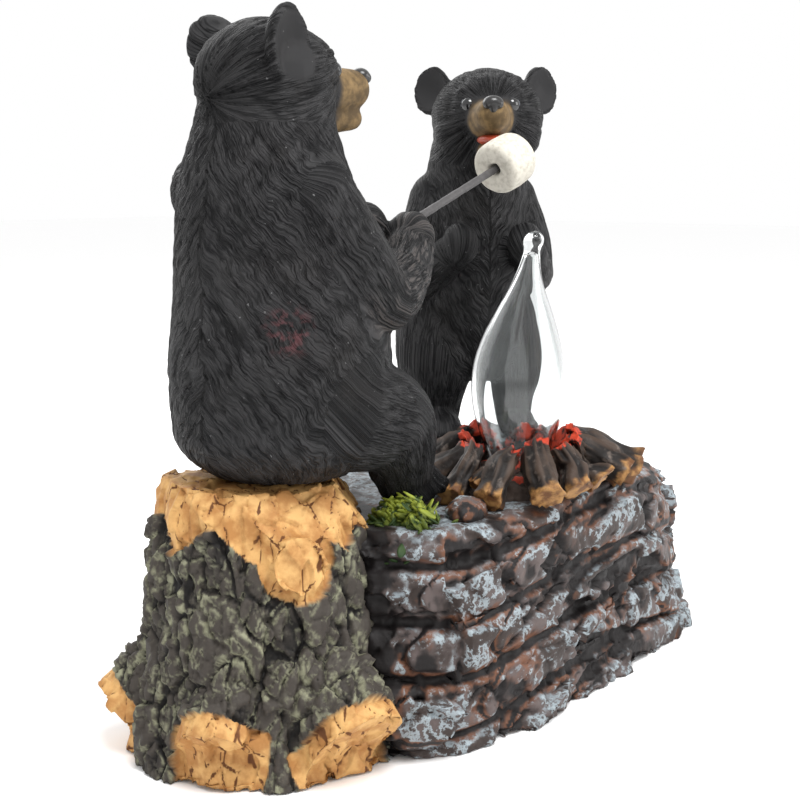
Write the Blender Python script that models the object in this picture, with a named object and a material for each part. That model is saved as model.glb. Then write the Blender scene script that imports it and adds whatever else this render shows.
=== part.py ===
"""Two bear cubs at a campfire: a cast resin figurine with a clear glass flame.

One cub sits on a chopped tree stump and holds a marshmallow on a stick. The other stands on the rock
ledge behind a ring of charred logs. A hollow blown-glass flame stands in a socket in the middle of the logs.

The frame: +Z is up, and the origin is on the table under the middle of the whole figurine. The stump is
at -X, the other cub at +X, and the campfire is at the front, towards -Y.
"""

import math
import random

import bmesh
import bpy
from mathutils import Euler, Matrix, Vector

MM = 0.001

# The rock ledge and its layers of stones
LEDGE_HEIGHT = 59 * MM
LEDGE_LENGTH = 176 * MM
LEDGE_WIDTH = 93 * MM
LEDGE_X = 13 * MM
LEDGE_Y = -1.5 * MM
LEDGE_TAPER = 0.14
LEDGE_SQUARENESS = 3.4
LEDGE_DROP = 9 * MM
LAYERS = 4
STONE_STEP = 1.8 * MM
CRACK_DEPTH = 3 * MM
CRACK_WIDTH = 4 * MM

# The chopped stump
STUMP_HEIGHT = 72 * MM
STUMP_RADIUS = 27 * MM
STUMP_FLARE = 9 * MM
STUMP_X = -78 * MM
STUMP_Y = 4 * MM
BARK_RIDGE = 1.1 * MM
KNOT_RADIUS = 7.8 * MM
ROOT_RADIUS = 11 * MM
ROOT_REACH = 35 * MM

# The campfire
FIRE_X = -3 * MM
FIRE_Y = -26 * MM
LOG_RADIUS = 4.6 * MM
LOG_RISE = 13 * MM
EMBER_HEIGHT = 6 * MM
SOCKET_DEPTH = 8 * MM
SOCKET_CLEARANCE = 0.6 * MM

# The hollow glass flame
FLAME_HEIGHT = 76 * MM
FLAME_RADIUS = 13.5 * MM
FLAME_FOOT_RADIUS = 7.6 * MM
FLAME_WALL = 1.3 * MM
FLAME_BEAD_RADIUS = 2.9 * MM
FLAME_LEAN = 4.2 * MM
FLAME_LEAN_HEADING = -52

# The cubs: one from its seat and one from its soles, up to the crown of the head
STUMP_CUB_HEIGHT = 116 * MM
STUMP_CUB_X = -75 * MM
STUMP_CUB_Y = 1 * MM
LEDGE_CUB_HEIGHT = 121 * MM
LEDGE_CUB_X = 49 * MM
LEDGE_CUB_Y = 26 * MM
LEDGE_CUB_HEADING = 230
LEDGE_STEP = 3 * MM
SCULPT_HEIGHT = 114

# The roasting stick and the marshmallow
STICK_RADIUS = 1.2 * MM
STICK_LENGTH = 61 * MM
STICK_HEADING = -3.8
STICK_RISE = 21.4
MARSHMALLOW_RADIUS = 7.8 * MM
MARSHMALLOW_LENGTH = 12 * MM
MARSHMALLOW_WALL = 3.5 * MM

# Gaps between neighbours, and how fine the carving is
GAP = 0.3 * MM
FOOT_ROOM = 0.5 * MM
CUB_VOXEL = 0.9 * MM
BASE_VOXEL = 1.2 * MM
CUB_TRIANGLES = 2250
BASE_TRIANGLES = 2800
SEED = 7


# Scene, meshes and materials

def clear_scene():
    for obj in list(bpy.data.objects):
        bpy.data.objects.remove(obj)


def material(name, colour, roughness, transmission=0.0):
    paint = bpy.data.materials.new(name)
    paint.use_nodes = True
    shader = paint.node_tree.nodes["Principled BSDF"]
    shader.inputs["Base Color"].default_value = (*colour, 1.0)
    shader.inputs["Roughness"].default_value = roughness
    shader.inputs["Metallic"].default_value = 0.0
    shader.inputs["Transmission Weight"].default_value = transmission
    paint.diffuse_color = (*colour, 1.0)
    return paint


def add_object(name, bm, paint=None):
    bmesh.ops.recalc_face_normals(bm, faces=bm.faces)
    mesh = bpy.data.meshes.new(name)
    bm.to_mesh(mesh)
    bm.free()
    obj = bpy.data.objects.new(name, mesh)
    bpy.context.scene.collection.objects.link(obj)
    if paint:
        mesh.materials.append(paint)
    return obj


def bake(obj):
    """Puts the shape that the modifiers make into the mesh, and drops the modifiers."""
    bpy.context.view_layer.update()
    graph = bpy.context.evaluated_depsgraph_get()
    obj.data = bpy.data.meshes.new_from_object(obj.evaluated_get(graph))
    obj.modifiers.clear()


def cast_in_one(obj, voxel, smoothing, triangles):
    """Fuses overlapping closed shapes into one skin, softens the joins, and thins it to few faces."""
    fuse = obj.modifiers.new("Fuse", "REMESH")
    fuse.mode = "VOXEL"
    fuse.voxel_size = voxel
    soften = obj.modifiers.new("Soften", "SMOOTH")
    soften.factor = 0.5
    soften.iterations = smoothing
    bake(obj)
    thin = obj.modifiers.new("Thin", "DECIMATE")
    thin.ratio = triangles / (2 * len(obj.data.polygons))
    thin.use_collapse_triangulate = True
    bake(obj)


def cut(obj, cutter):
    """Cuts a hidden helper's shape away from the object."""
    cutter.hide_render = True
    cutter.display_type = "WIRE"
    away = obj.modifiers.new(cutter.name, "BOOLEAN")
    away.operation = "DIFFERENCE"
    away.solver = "EXACT"
    away.object = cutter


def shade(obj, sharp_degrees=35):
    obj.data.shade_smooth()
    obj.data.set_sharp_from_angle(angle=math.radians(sharp_degrees))


# Closed shapes, which are fused where they overlap

def turned(degrees):
    return Euler([math.radians(angle) for angle in degrees]).to_matrix().to_4x4()


def heading(degrees):
    return Vector((math.cos(math.radians(degrees)), math.sin(math.radians(degrees)), 0))


def ellipsoid(bm, centre, radii, turn=(0, 0, 0), segments=20):
    place = Matrix.Translation(centre) @ turned(turn) @ Matrix.Diagonal((*radii, 1))
    made = bmesh.ops.create_uvsphere(
        bm, u_segments=segments, v_segments=segments // 2 + 2, radius=1, matrix=place)
    return made["verts"]


def rod(bm, start, end, radius, end_radius=None, segments=16):
    """A round rod with flat ends; the end may have another radius."""
    start = Vector(start)
    run = Vector(end) - start
    place = Matrix.Translation(start + run / 2) @ run.to_track_quat("Z", "Y").to_matrix().to_4x4()
    made = bmesh.ops.create_cone(
        bm, cap_ends=True, segments=segments, radius1=radius, radius2=end_radius or radius,
        depth=run.length, matrix=place)
    return made["verts"]


def block(bm, centre, size, turn=(0, 0, 0)):
    place = Matrix.Translation(centre) @ turned(turn) @ Matrix.Diagonal((*size, 1))
    return bmesh.ops.create_cube(bm, size=1, matrix=place)["verts"]


def stone(bm, dice, centre, size, turn=(0, 0, 0)):
    """A block with knocked-off corners: each corner moves a little at random, then its edges are bevelled."""
    verts = block(bm, centre, size, turn)
    for vert in verts:
        vert.co += Vector([dice.uniform(-0.09, 0.09) * side for side in size])
    edges = list({edge for vert in verts for edge in vert.link_edges})
    bmesh.ops.bevel(bm, geom=edges, offset=min(size) * 0.2, segments=2, affect="EDGES", profile=0.5)


def lathe(bm, profile, segments):
    """Turns a profile of (radius, height) points, which starts and ends on the axis, about +Z."""
    ring = [bm.verts.new((radius, 0, height)) for radius, height in profile]
    edges = [bm.edges.new(pair) for pair in zip(ring, ring[1:])]
    bmesh.ops.spin(
        bm, geom=ring + edges, cent=(0, 0, 0), axis=(0, 0, 1), angle=math.tau,
        steps=segments, use_merge=True)
    bmesh.ops.remove_doubles(bm, verts=bm.verts, dist=0.00001)


def smooth_line(points, steps):
    """Points on a smooth curve through the given points."""
    points = [Vector(point) for point in points]
    guides = [2 * points[0] - points[1], *points, 2 * points[-1] - points[-2]]
    line = []
    for before, start, end, after in zip(guides, guides[1:], guides[2:], guides[3:]):
        for step in range(steps):
            t = step / steps
            line.append(0.5 * (2 * start + (end - before) * t
                               + (2 * before - 5 * start + 4 * end - after) * t ** 2
                               + (3 * start - before - 3 * end + after) * t ** 3))
    return [*line, points[-1]]


# The cubs: a point is (forward, left, up) from the middle of the foot, drawn at SCULPT_HEIGHT and scaled

class Cub:
    def __init__(self, height):
        self.scale = height / SCULPT_HEIGHT
        self.bm = bmesh.new()

    def mass(self, centre, radii, turn=(0, 0, 0)):
        return ellipsoid(self.bm, Vector(centre) * self.scale, Vector(radii) * self.scale, turn)

    def sweep(self, stations, steps=3):
        """A smooth body through stations of a centre and three radii."""
        centres, radii = zip(*stations)
        for centre, size in zip(smooth_line(centres, steps), smooth_line(radii, steps)):
            self.mass(centre, size)

    def limb(self, *stations):
        """A round tapered limb through stations of a point and a radius."""
        self.sweep([(point, (radius, radius, radius)) for point, radius in stations], 5)

    def toes(self, tip, facing, spread, radius, count=5):
        """A row of toes round the front of a paw."""
        across = heading(facing + 90)
        for toe in range(count):
            share = 2 * toe / (count - 1) - 1
            place = Vector(tip) + across * spread * share - heading(facing) * 0.6 * radius * share ** 2
            self.mass(place, (1.5 * radius, radius, radius), (0, 0, facing))

    def ear(self, centre, radii, turn):
        """A round ear: a flat ball with its front pressed in to a cup."""
        verts = self.mass((0, 0, 0), (1, 1, 1))
        for vert in verts:
            inside = 1 - (vert.co.y ** 2 + vert.co.z ** 2) / self.scale ** 2
            if vert.co.x > 0:
                vert.co.x -= 1.25 * max(0.0, inside) * self.scale
        place = Matrix.Translation(Vector(centre) * self.scale) @ turned(turn) @ Matrix.Diagonal((*radii, 1))
        bmesh.ops.transform(self.bm, matrix=place, verts=verts)

    def head(self, centre, turn, mouth_open, ear_centre, ear_radii, ear_turn):
        """The skull, cheeks, brows, muzzle, nose, lower jaw, eyes and ears, about the middle of the skull."""
        body = set(self.bm.verts)
        self.mass((0, 0, 0), (17.5, 17.3, 15))
        self.mass((6, 0, 1), (13.5, 13.5, 12))
        self.sweep([((11, 0, -2), (10, 9, 8)), ((19, 0, -2), (8.5, 7.2, 6.6)),
                    ((25.5, 0, -1.6), (6, 6, 5.8))])
        self.mass((30.2, 0, 2), (2.8, 3.6, 2.5))
        jaw = -9.4 - mouth_open
        self.limb(((8, 0, -8), 6.5), ((18, 0, jaw), 4), ((25.5, 0, jaw), 3.1))
        for side in (-1, 1):
            self.mass((4, side * 8, -5), (9.5, 8.4, 9))
            self.mass((13, side * 6.8, 5.4), (3.2, 3.8, 2.6), (0, 0, side * 25))
            self.mass((15.8, side * 6.8, 2.6), (2, 2.1, 2.1))
            forward, out, up = ear_centre
            roll, pitch, yaw = ear_turn
            self.ear((forward, side * out, up), ear_radii, (side * roll, pitch, side * yaw))
        verts = [vert for vert in self.bm.verts if vert not in body]
        place = Matrix.Translation(Vector(centre) * self.scale) @ turned(turn)
        bmesh.ops.transform(self.bm, matrix=place, verts=verts)


def stump_cub(paint):
    """The cub with the stick: its legs hang over the stump's edge and both paws close on the stick."""
    cub = Cub(STUMP_CUB_HEIGHT)
    cub.sweep([((1, 0, 12), (27, 27.5, 15)), ((1.5, 0, 26), (28.5, 28.5, 22)), ((1.5, 0, 42), (27, 27, 20)),
               ((-1, 0, 57), (24, 25, 20)), ((-3, 0, 71), (21, 22.5, 18)), ((-3, 0, 86), (17.5, 18, 13)),
               ((-2, 0, 95), (16.5, 17, 12))])
    cub.head((-3, 0, 98), (0, -2, -14), 0, (-3, 16, 7.2), (4.6, 7.6, 10), (-22, 8, 68))
    cub.limb(((-5, -16, 71), 11), ((3, -20, 58), 10), ((15, -21.5, 45), 8.8), ((28, -18, 49), 7.6),
             ((38, -13, 55.5), 6.6))
    cub.limb(((-5, 16, 71), 11), ((4, 20, 58), 9.6), ((14, 21, 47), 8.4), ((24, 13, 53), 7),
             ((31, 6, 58), 6.4))
    cub.mass((42.5, -9.5, 58.5), (7.6, 6.6, 7.2), (0, -20, 0))
    cub.mass((36.5, 1.5, 61), (7.6, 6.6, 7.2), (0, -20, 0))
    for side in (-1, 1):
        cub.limb(((6, side * 15, 17), 16), ((21, side * 18, 12), 13.2), ((29, side * 17.5, 0), 8.8),
                 ((31, side * 17.5, -5), 7))
        cub.mass((33, side * 17.5, -6), (11, 7, 6))
        cub.toes((41, side * 17.5, -7), 0, 5, 2.4)
    obj = add_object("stump_cub", cub.bm, paint)
    cast_in_one(obj, CUB_VOXEL, 8, CUB_TRIANGLES)
    obj.location = (STUMP_CUB_X, STUMP_CUB_Y, STUMP_HEIGHT + GAP)

    bm = bmesh.new()
    rod(bm, (STUMP_X, STUMP_Y, 0), (STUMP_X, STUMP_Y, STUMP_HEIGHT + GAP), STUMP_RADIUS + 3 * MM, segments=48)
    cut(obj, add_object("stump_room", bm))
    bm = bmesh.new()
    rod(bm, stick_point(-GAP), stick_point(STICK_LENGTH), STICK_RADIUS + GAP)
    cut(obj, add_object("stick_room", bm))
    shade(obj)
    return obj


def ledge_cub(paint):
    """The cub behind the fire: it stands on its hind legs, with both paws raised and its mouth open."""
    cub = Cub(LEDGE_CUB_HEIGHT)
    cub.sweep([((-3, 0, 30), (15, 16, 13)), ((-1, 0, 42), (18, 17.5, 16)), ((0, 0, 56), (18, 17.5, 17)),
               ((-1.5, 0, 71), (16.5, 17, 16)), ((-1, 1, 86), (15, 15.2, 13)), ((0, 2, 95), (15, 15, 12))])
    cub.head((2, 3, 99), (0, -4, -12), 3, (-5, 17, 9), (4.2, 7, 7.6), (-14, -6, 42))
    for side in (-1, 1):
        cub.limb(((-3, side * 11.5, 74), 8.8), ((0, side * 15.5, 62), 8.4), ((3, side * 17, 52), 7.4),
                 ((11, side * 15, 54), 6.3), ((17, side * 12, 58), 5.8))
        cub.mass((21, side * 10, 61.5), (5.6, 5.4, 6.6), (0, -30, 0))
        cub.limb(((-3, side * 10, 35), 14.5), ((0, side * 12.5, 25), 12.5), ((-2, side * 12.5, 14), 9.4),
                 ((-2, side * 12.5, 6), 7.8))
        cub.mass((4, side * 13, 4.4), (12, 7.2, 5.4))
        cub.toes((13.5, side * 13.5, 3.4), side * 8, 5, 2.4)
    obj = add_object("ledge_cub", cub.bm, paint)
    cast_in_one(obj, CUB_VOXEL, 8, CUB_TRIANGLES)
    soles = LEDGE_HEIGHT + LEDGE_STEP + GAP
    obj.location = (LEDGE_CUB_X, LEDGE_CUB_Y, soles)
    obj.rotation_euler = (0, 0, math.radians(LEDGE_CUB_HEADING))

    bm = bmesh.new()
    middle = (LEDGE_CUB_X, LEDGE_CUB_Y, soles - LEDGE_HEIGHT / 2)
    block(bm, middle, (LEDGE_LENGTH, LEDGE_LENGTH, LEDGE_HEIGHT))
    cut(obj, add_object("ledge_room", bm))
    shade(obj)
    return obj


# The stick and the marshmallow

def stick_point(distance):
    """A point on the stick's middle line, so far from its end in the cub's paws."""
    rise = math.radians(STICK_RISE)
    level = heading(STICK_HEADING) * math.cos(rise)
    seat = Vector((STUMP_CUB_X, STUMP_CUB_Y, STUMP_HEIGHT + GAP))
    paws = seat + Vector((36.36, -4.72, 57.69)) * STUMP_CUB_HEIGHT / SCULPT_HEIGHT
    return paws + (level + Vector((0, 0, math.sin(rise)))) * distance


def roasting_stick(paint):
    bm = bmesh.new()
    rod(bm, stick_point(0), stick_point(STICK_LENGTH), STICK_RADIUS)
    obj = add_object("roasting_stick", bm, paint)
    shade(obj)
    return obj


def marshmallow(paint):
    """A soft round lump, with the hole that the stick's end is pushed into."""
    top = MARSHMALLOW_LENGTH / 2
    round_over = top * 0.35
    bm = bmesh.new()
    lathe(bm, [(0, -top), (MARSHMALLOW_RADIUS - round_over, -top), (MARSHMALLOW_RADIUS, round_over - top),
               (MARSHMALLOW_RADIUS, top - round_over), (MARSHMALLOW_RADIUS - round_over, top), (0, top)], 32)
    obj = add_object("marshmallow", bm, paint)
    centre = stick_point(STICK_LENGTH + GAP + MARSHMALLOW_WALL - top)
    obj.location = centre
    obj.rotation_euler = (stick_point(STICK_LENGTH) - stick_point(0)).to_track_quat("Z", "Y").to_euler()

    bm = bmesh.new()
    rod(bm, stick_point(0), stick_point(STICK_LENGTH + GAP), STICK_RADIUS + GAP)
    cut(obj, add_object("marshmallow_hole", bm))
    shade(obj)
    return obj


# The glass flame

def flame_lean(height):
    """How far the flame's middle line has bent aside at a height above its foot."""
    share = max(0.0, height / FLAME_HEIGHT - 0.5) / 0.5
    return heading(FLAME_LEAN_HEADING) * FLAME_LEAN * min(1.0, share ** 1.4)


def glass_flame(paint):
    """A blown drop of glass: open at the foot, thin in the wall, and closed by a solid bead at the tip."""
    foot = [(0, 1), (0.11, 1)]
    belly = [(0.25, 0.83), (0.34, 0.96), (0.43, 1), (0.52, 0.95), (0.61, 0.81), (0.7, 0.61),
             (0.78, 0.4), (0.85, 0.26)]
    neck = FLAME_BEAD_RADIUS * 0.8
    outside = [(radius * FLAME_FOOT_RADIUS, share * FLAME_HEIGHT, 0) for share, radius in foot]
    outside += [(radius * FLAME_RADIUS, share * FLAME_HEIGHT, 0) for share, radius in belly]
    outside.append((neck, 0.925 * FLAME_HEIGHT, 0))
    outside = smooth_line(outside, 1)
    inside = [point - Vector((FLAME_WALL, 0, 0)) for point in outside if point.x > FLAME_WALL * 2.2]
    bead = FLAME_HEIGHT - FLAME_BEAD_RADIUS
    arc = [(FLAME_BEAD_RADIUS * math.sin(turn), bead - FLAME_BEAD_RADIUS * math.cos(turn))
           for turn in map(math.radians, range(60, 181, 30))]
    profile = [(0, inside[-1].y + FLAME_WALL), *[(point.x, point.y) for point in reversed(inside)],
               *[(point.x, point.y) for point in outside], *arc[:-1], (0, FLAME_HEIGHT)]
    bm = bmesh.new()
    lathe(bm, profile, 20)
    for vert in bm.verts:
        vert.co += flame_lean(vert.co.z)
    obj = add_object("glass_flame", bm, paint)
    obj.location = (FIRE_X, FIRE_Y, flame_foot())
    shade(obj, 60)
    return obj


def flame_foot():
    return LEDGE_HEIGHT + EMBER_HEIGHT - SOCKET_DEPTH + GAP


# The base: stump, ledge and fire in one casting

def ledge_edge(angle, inset):
    """A point on the ledge's outline: a rounded oblong that narrows towards the ledge cub's end."""
    power = 2 / LEDGE_SQUARENESS
    cosine, sine = math.cos(angle), math.sin(angle)
    x = math.copysign(abs(cosine) ** power, cosine)
    y = math.copysign(abs(sine) ** power, sine) * (1 - LEDGE_TAPER * x)
    return Vector((LEDGE_X + x * (LEDGE_LENGTH / 2 - inset), LEDGE_Y + y * (LEDGE_WIDTH / 2 - inset)))


class RockFace:
    """Layers of cracked blocks. Each block stands in or out a little, and its rim is rounded into a crack."""

    def __init__(self, dice):
        self.layers = []
        for _ in range(LAYERS + 2):
            count = dice.randint(9, 12)
            joints = [(place + dice.uniform(-0.3, 0.3)) / count for place in range(count)]
            self.layers.append([(joint, dice.uniform(-STONE_STEP, STONE_STEP)) for joint in joints])

    def relief(self, share, height):
        """How far the face stands out, a share of the way round the ledge and at a height."""
        tall = LEDGE_HEIGHT / LAYERS
        wave = 2.6 * MM * math.sin(math.tau * 2 * share + 1) + 1.3 * MM * math.sin(math.tau * 5 * share)
        level = (height + wave) / tall + 0.5
        layer = min(max(int(level), 0), LAYERS + 1)
        to_seam = min(level - layer, layer + 1 - level) * tall
        share += 0.012 * math.sin(level * 5 + layer)
        blocks = self.layers[layer]
        gaps = [abs((share - joint + 0.5) % 1 - 0.5) for joint, _ in blocks]
        to_joint = min(gaps) * 2 * (LEDGE_LENGTH + LEDGE_WIDTH)
        stand = [stand for joint, stand in blocks if joint <= share][-1:] or [blocks[-1][1]]
        rim = 1 - min(1.0, max(0.0, min(to_seam, to_joint)) / CRACK_WIDTH)
        return stand[0] - CRACK_DEPTH * rim ** 2


def ledge(bm, dice):
    """The rock: a block with layered cracked sides, a rounded top edge and a lower front corner."""
    face = RockFace(dice)
    rings = 30
    made = rod(bm, (0, 0, -2 * MM), (0, 0, LEDGE_HEIGHT), 1, segments=150)
    upright = [edge for edge in {edge for vert in made for edge in vert.link_edges}
               if abs(edge.verts[0].co.z - edge.verts[1].co.z) > MM]
    body = set(bm.verts) - set(made)
    bmesh.ops.subdivide_edges(bm, edges=upright, cuts=rings)
    for vert in [vert for vert in bm.verts if vert.co.xy.length > 0.5 and vert not in body]:
        angle = math.atan2(vert.co.y, vert.co.x)
        below = LEDGE_HEIGHT - vert.co.z
        round_over = 5 * MM * max(0.0, 1 - below / (6 * MM)) ** 2
        share = (angle / math.tau) % 1
        inset = STONE_STEP + round_over - face.relief(share, vert.co.z) * min(1.0, below / (4 * MM))
        vert.co.xy = ledge_edge(angle, inset)
        to_end = max(0.0, min(1.0, (vert.co.x - 0.2 * LEDGE_LENGTH) / (0.28 * LEDGE_LENGTH)))
        to_front = max(0.0, min(1.0, (0.05 * LEDGE_WIDTH - vert.co.y) / (0.38 * LEDGE_WIDTH)))
        vert.co.z -= LEDGE_DROP * to_end * to_front * max(0.0, vert.co.z) / LEDGE_HEIGHT


def stump(bm, dice):
    """A round trunk with bark ridges and a flared foot, axe-cut facets at the top, roots and a knot."""
    made = rod(bm, (0, 0, -2 * MM), (0, 0, STUMP_HEIGHT + 1 * MM), STUMP_RADIUS, segments=54)
    upright = [edge for edge in {edge for vert in made for edge in vert.link_edges}
               if abs(edge.verts[0].co.z - edge.verts[1].co.z) > MM]
    bmesh.ops.subdivide_edges(bm, edges=upright, cuts=14)
    trunk = [vert for vert in bm.verts if vert.co.xy.length > STUMP_RADIUS / 2]
    for vert in trunk:
        angle = math.atan2(vert.co.y, vert.co.x)
        depth = 1 - min(max(0.0, vert.co.z / STUMP_HEIGHT), 1.0)
        ridge = math.sin(11 * angle + 2.2 * math.sin(vert.co.z / (9 * MM))) * BARK_RIDGE
        vert.co.xy *= (STUMP_RADIUS + STUMP_FLARE * depth ** 1.6 + ridge) / vert.co.xy.length
    for facet in range(7):
        angle = 360 * facet / 7 + dice.uniform(-14, 14)
        normal = heading(angle) + Vector((0, 0, dice.uniform(0.5, 0.9)))
        point = heading(angle) * STUMP_RADIUS * 0.93 + Vector((0, 0, STUMP_HEIGHT - dice.uniform(3, 9) * MM))
        chop = bmesh.ops.bisect_plane(
            bm, geom=bm.verts[:] + bm.edges[:] + bm.faces[:], plane_co=point, plane_no=normal,
            clear_outer=True)
        rim = [item for item in chop["geom_cut"] if isinstance(item, bmesh.types.BMEdge)]
        bmesh.ops.contextual_create(bm, geom=rim)
    for angle, size in ((259, 1.2), (203, 0.95), (133, 1.05), (75, 0.9)):
        out = heading(angle)
        rod(bm, out * STUMP_RADIUS * 0.5 + Vector((0, 0, 30 * MM)),
            out * ROOT_REACH * (0.5 + 0.5 * size) + Vector((0, 0, 9 * MM)), ROOT_RADIUS * size)
    out = heading(242)
    knot_height = Vector((0, 0, STUMP_HEIGHT * 0.76))
    knot_end = out * (STUMP_RADIUS + 3.4 * MM) + knot_height
    rod(bm, out * STUMP_RADIUS * 0.7 + knot_height, knot_end, KNOT_RADIUS)
    bmesh.ops.translate(bm, verts=bm.verts, vec=(STUMP_X, STUMP_Y, 0))


def campfire(bm, dice):
    """A mound of embers, and logs that lean in on it from all round."""
    floor = LEDGE_HEIGHT
    mound = (1.78 * FLAME_RADIUS, 1.33 * FLAME_RADIUS, EMBER_HEIGHT + 2 * MM)
    ellipsoid(bm, (FIRE_X + 4 * MM, FIRE_Y + 3 * MM, floor - 1 * MM), mound)
    # Each log: the heading of its outer end, how far out that is in flame radii, and how thick the log is
    logs = ((-160, 2, 0.9), (-128, 1.85, 1), (-98, 1.48, 1), (-74, 1.48, 1.05), (-48, 2, 1), (-27, 2.96, 1.15),
            (8, 2.22, 0.9), (40, 1.78, 1), (75, 1.7, 0.95), (112, 1.78, 1), (150, 1.93, 1), (178, 2, 0.85))
    for angle, reach, thickness in logs:
        foot = Vector((FIRE_X, FIRE_Y, floor + LOG_RADIUS * 0.7)) + heading(angle) * reach * FLAME_RADIUS
        tip = Vector((FIRE_X, FIRE_Y, floor + LOG_RISE + dice.uniform(0, 4) * MM))
        tip += heading(angle + dice.uniform(-8, 8)) * (FLAME_RADIUS - 1 * MM)
        rod(bm, foot, tip, LOG_RADIUS * thickness, LOG_RADIUS * thickness * 0.8, segments=10)


def moss_and_pebble(bm, dice):
    """A tuft of moss in the corner between stump and ledge, with a pebble beside it."""
    floor = Vector((STUMP_X, STUMP_Y, LEDGE_HEIGHT))
    for tuft in range(16):
        spread = Vector((dice.uniform(-8, 8), dice.uniform(-8, 5), dice.uniform(-4, 2))) * MM
        place = floor + heading(-44) * 1.44 * STUMP_RADIUS + spread
        ellipsoid(bm, place, [dice.uniform(2.4, 3.6) * MM] * 3, segments=8)
    stone(bm, dice, floor + heading(-43) * 2.02 * STUMP_RADIUS, (15 * MM, 11 * MM, 9 * MM), (0, 0, 20))


def base(paint):
    dice = random.Random(SEED)
    bm = bmesh.new()
    stump(bm, dice)
    ledge(bm, dice)
    campfire(bm, dice)
    moss_and_pebble(bm, dice)
    stance = Vector((LEDGE_CUB_X, LEDGE_CUB_Y, LEDGE_HEIGHT))
    stance += heading(LEDGE_CUB_HEADING) * 0.033 * LEDGE_CUB_HEIGHT
    rod(bm, stance - Vector((0, 0, 8 * MM)), stance + Vector((0, 0, LEDGE_STEP + MM)),
        0.223 * LEDGE_CUB_HEIGHT, 0.207 * LEDGE_CUB_HEIGHT, segments=24)
    obj = add_object("base", bm, paint)
    cast_in_one(obj, BASE_VOXEL, 2, BASE_TRIANGLES)

    bm = bmesh.new()
    block(bm, (0, 0, -LEDGE_HEIGHT / 2), (3 * LEDGE_LENGTH, 3 * LEDGE_LENGTH, LEDGE_HEIGHT))
    cut(obj, add_object("table_cut", bm))
    bm = bmesh.new()
    top = Vector((STUMP_X, STUMP_Y, STUMP_HEIGHT))
    rod(bm, top, top + Vector((0, 0, STUMP_HEIGHT)), 2 * STUMP_RADIUS, segments=24)
    cut(obj, add_object("stump_top_cut", bm))
    bm = bmesh.new()
    feet = Vector((STUMP_CUB_X + 0.345 * STUMP_CUB_HEIGHT, STUMP_CUB_Y, LEDGE_HEIGHT + FOOT_ROOM))
    room = Vector((0.241, 0.466, 0.345)) * STUMP_CUB_HEIGHT
    block(bm, feet + Vector((0, 0, room.z / 2)), room)
    cut(obj, add_object("foot_room_cut", bm))
    bm = bmesh.new()
    rod(bm, stance + Vector((0, 0, LEDGE_STEP)), stance + Vector((0, 0, STUMP_HEIGHT)),
        0.24 * LEDGE_CUB_HEIGHT, segments=32)
    cut(obj, add_object("stance_cut", bm))
    bm = bmesh.new()
    foot = flame_foot() - GAP
    rim = LEDGE_HEIGHT + EMBER_HEIGHT
    socket = FLAME_FOOT_RADIUS + SOCKET_CLEARANCE
    wide = FLAME_RADIUS + SOCKET_CLEARANCE
    lathe(bm, [(0, foot), (socket, foot), (socket, rim), (wide, rim), (wide, 2 * STUMP_HEIGHT),
               (0, 2 * STUMP_HEIGHT)], 40)
    bmesh.ops.translate(bm, verts=bm.verts, vec=(FIRE_X, FIRE_Y, 0))
    cut(obj, add_object("glass_socket", bm))
    shade(obj)
    return obj


def centre_on_table(pieces, helpers):
    """Moves everything together, so that the middle of the whole figurine stands over the origin."""
    bpy.context.view_layer.update()
    graph = bpy.context.evaluated_depsgraph_get()
    points = [piece.matrix_world @ vert.co for piece in pieces
              for vert in piece.evaluated_get(graph).data.vertices]
    shift = Vector((0, 0, 0))
    for axis in range(2):
        along = [point[axis] for point in points]
        shift[axis] = -(min(along) + max(along)) / 2
    for obj in [*pieces, *helpers]:
        obj.location += shift
    return shift


def main():
    clear_scene()
    fur = material("black_resin", (0.018, 0.018, 0.02), 0.6)
    pieces = [
        base(material("rock_resin", (0.16, 0.13, 0.12), 0.75)),
        stump_cub(fur),
        ledge_cub(material("black_resin_ledge", (0.018, 0.018, 0.02), 0.6)),
        roasting_stick(material("stick_paint", (0.06, 0.055, 0.055), 0.6)),
        marshmallow(material("marshmallow_paint", (0.85, 0.83, 0.78), 0.8)),
        glass_flame(material("clear_glass", (1.0, 1.0, 1.0), 0.03, 1.0)),
    ]
    helpers = [obj for obj in bpy.data.objects if obj not in pieces]
    shift = centre_on_table(pieces, helpers)
    print("moved to the middle by (mm):", [round(value / MM, 2) for value in shift])


main()
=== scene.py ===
# %% [markdown]
# # Two bear cubs at a campfire
#
# The object is a painted resin figurine. A cub sits on a chopped stump and toasts a marshmallow, another
# stands on a rock ledge behind a ring of charred logs, and a hollow glass flame stands among the logs.
#
# The plain solids are made already. This lesson dresses them: it carves fur, bark and cracks into finer
# skins of the same shapes, and mixes the paints. All lengths in the carving are millimetres, and MOVED is
# the step from the middle of the sculpting table to the middle of the figurine.

import math
import random

import bmesh
import bpy
import numpy as np
from mathutils import Euler, Matrix, Vector


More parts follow.
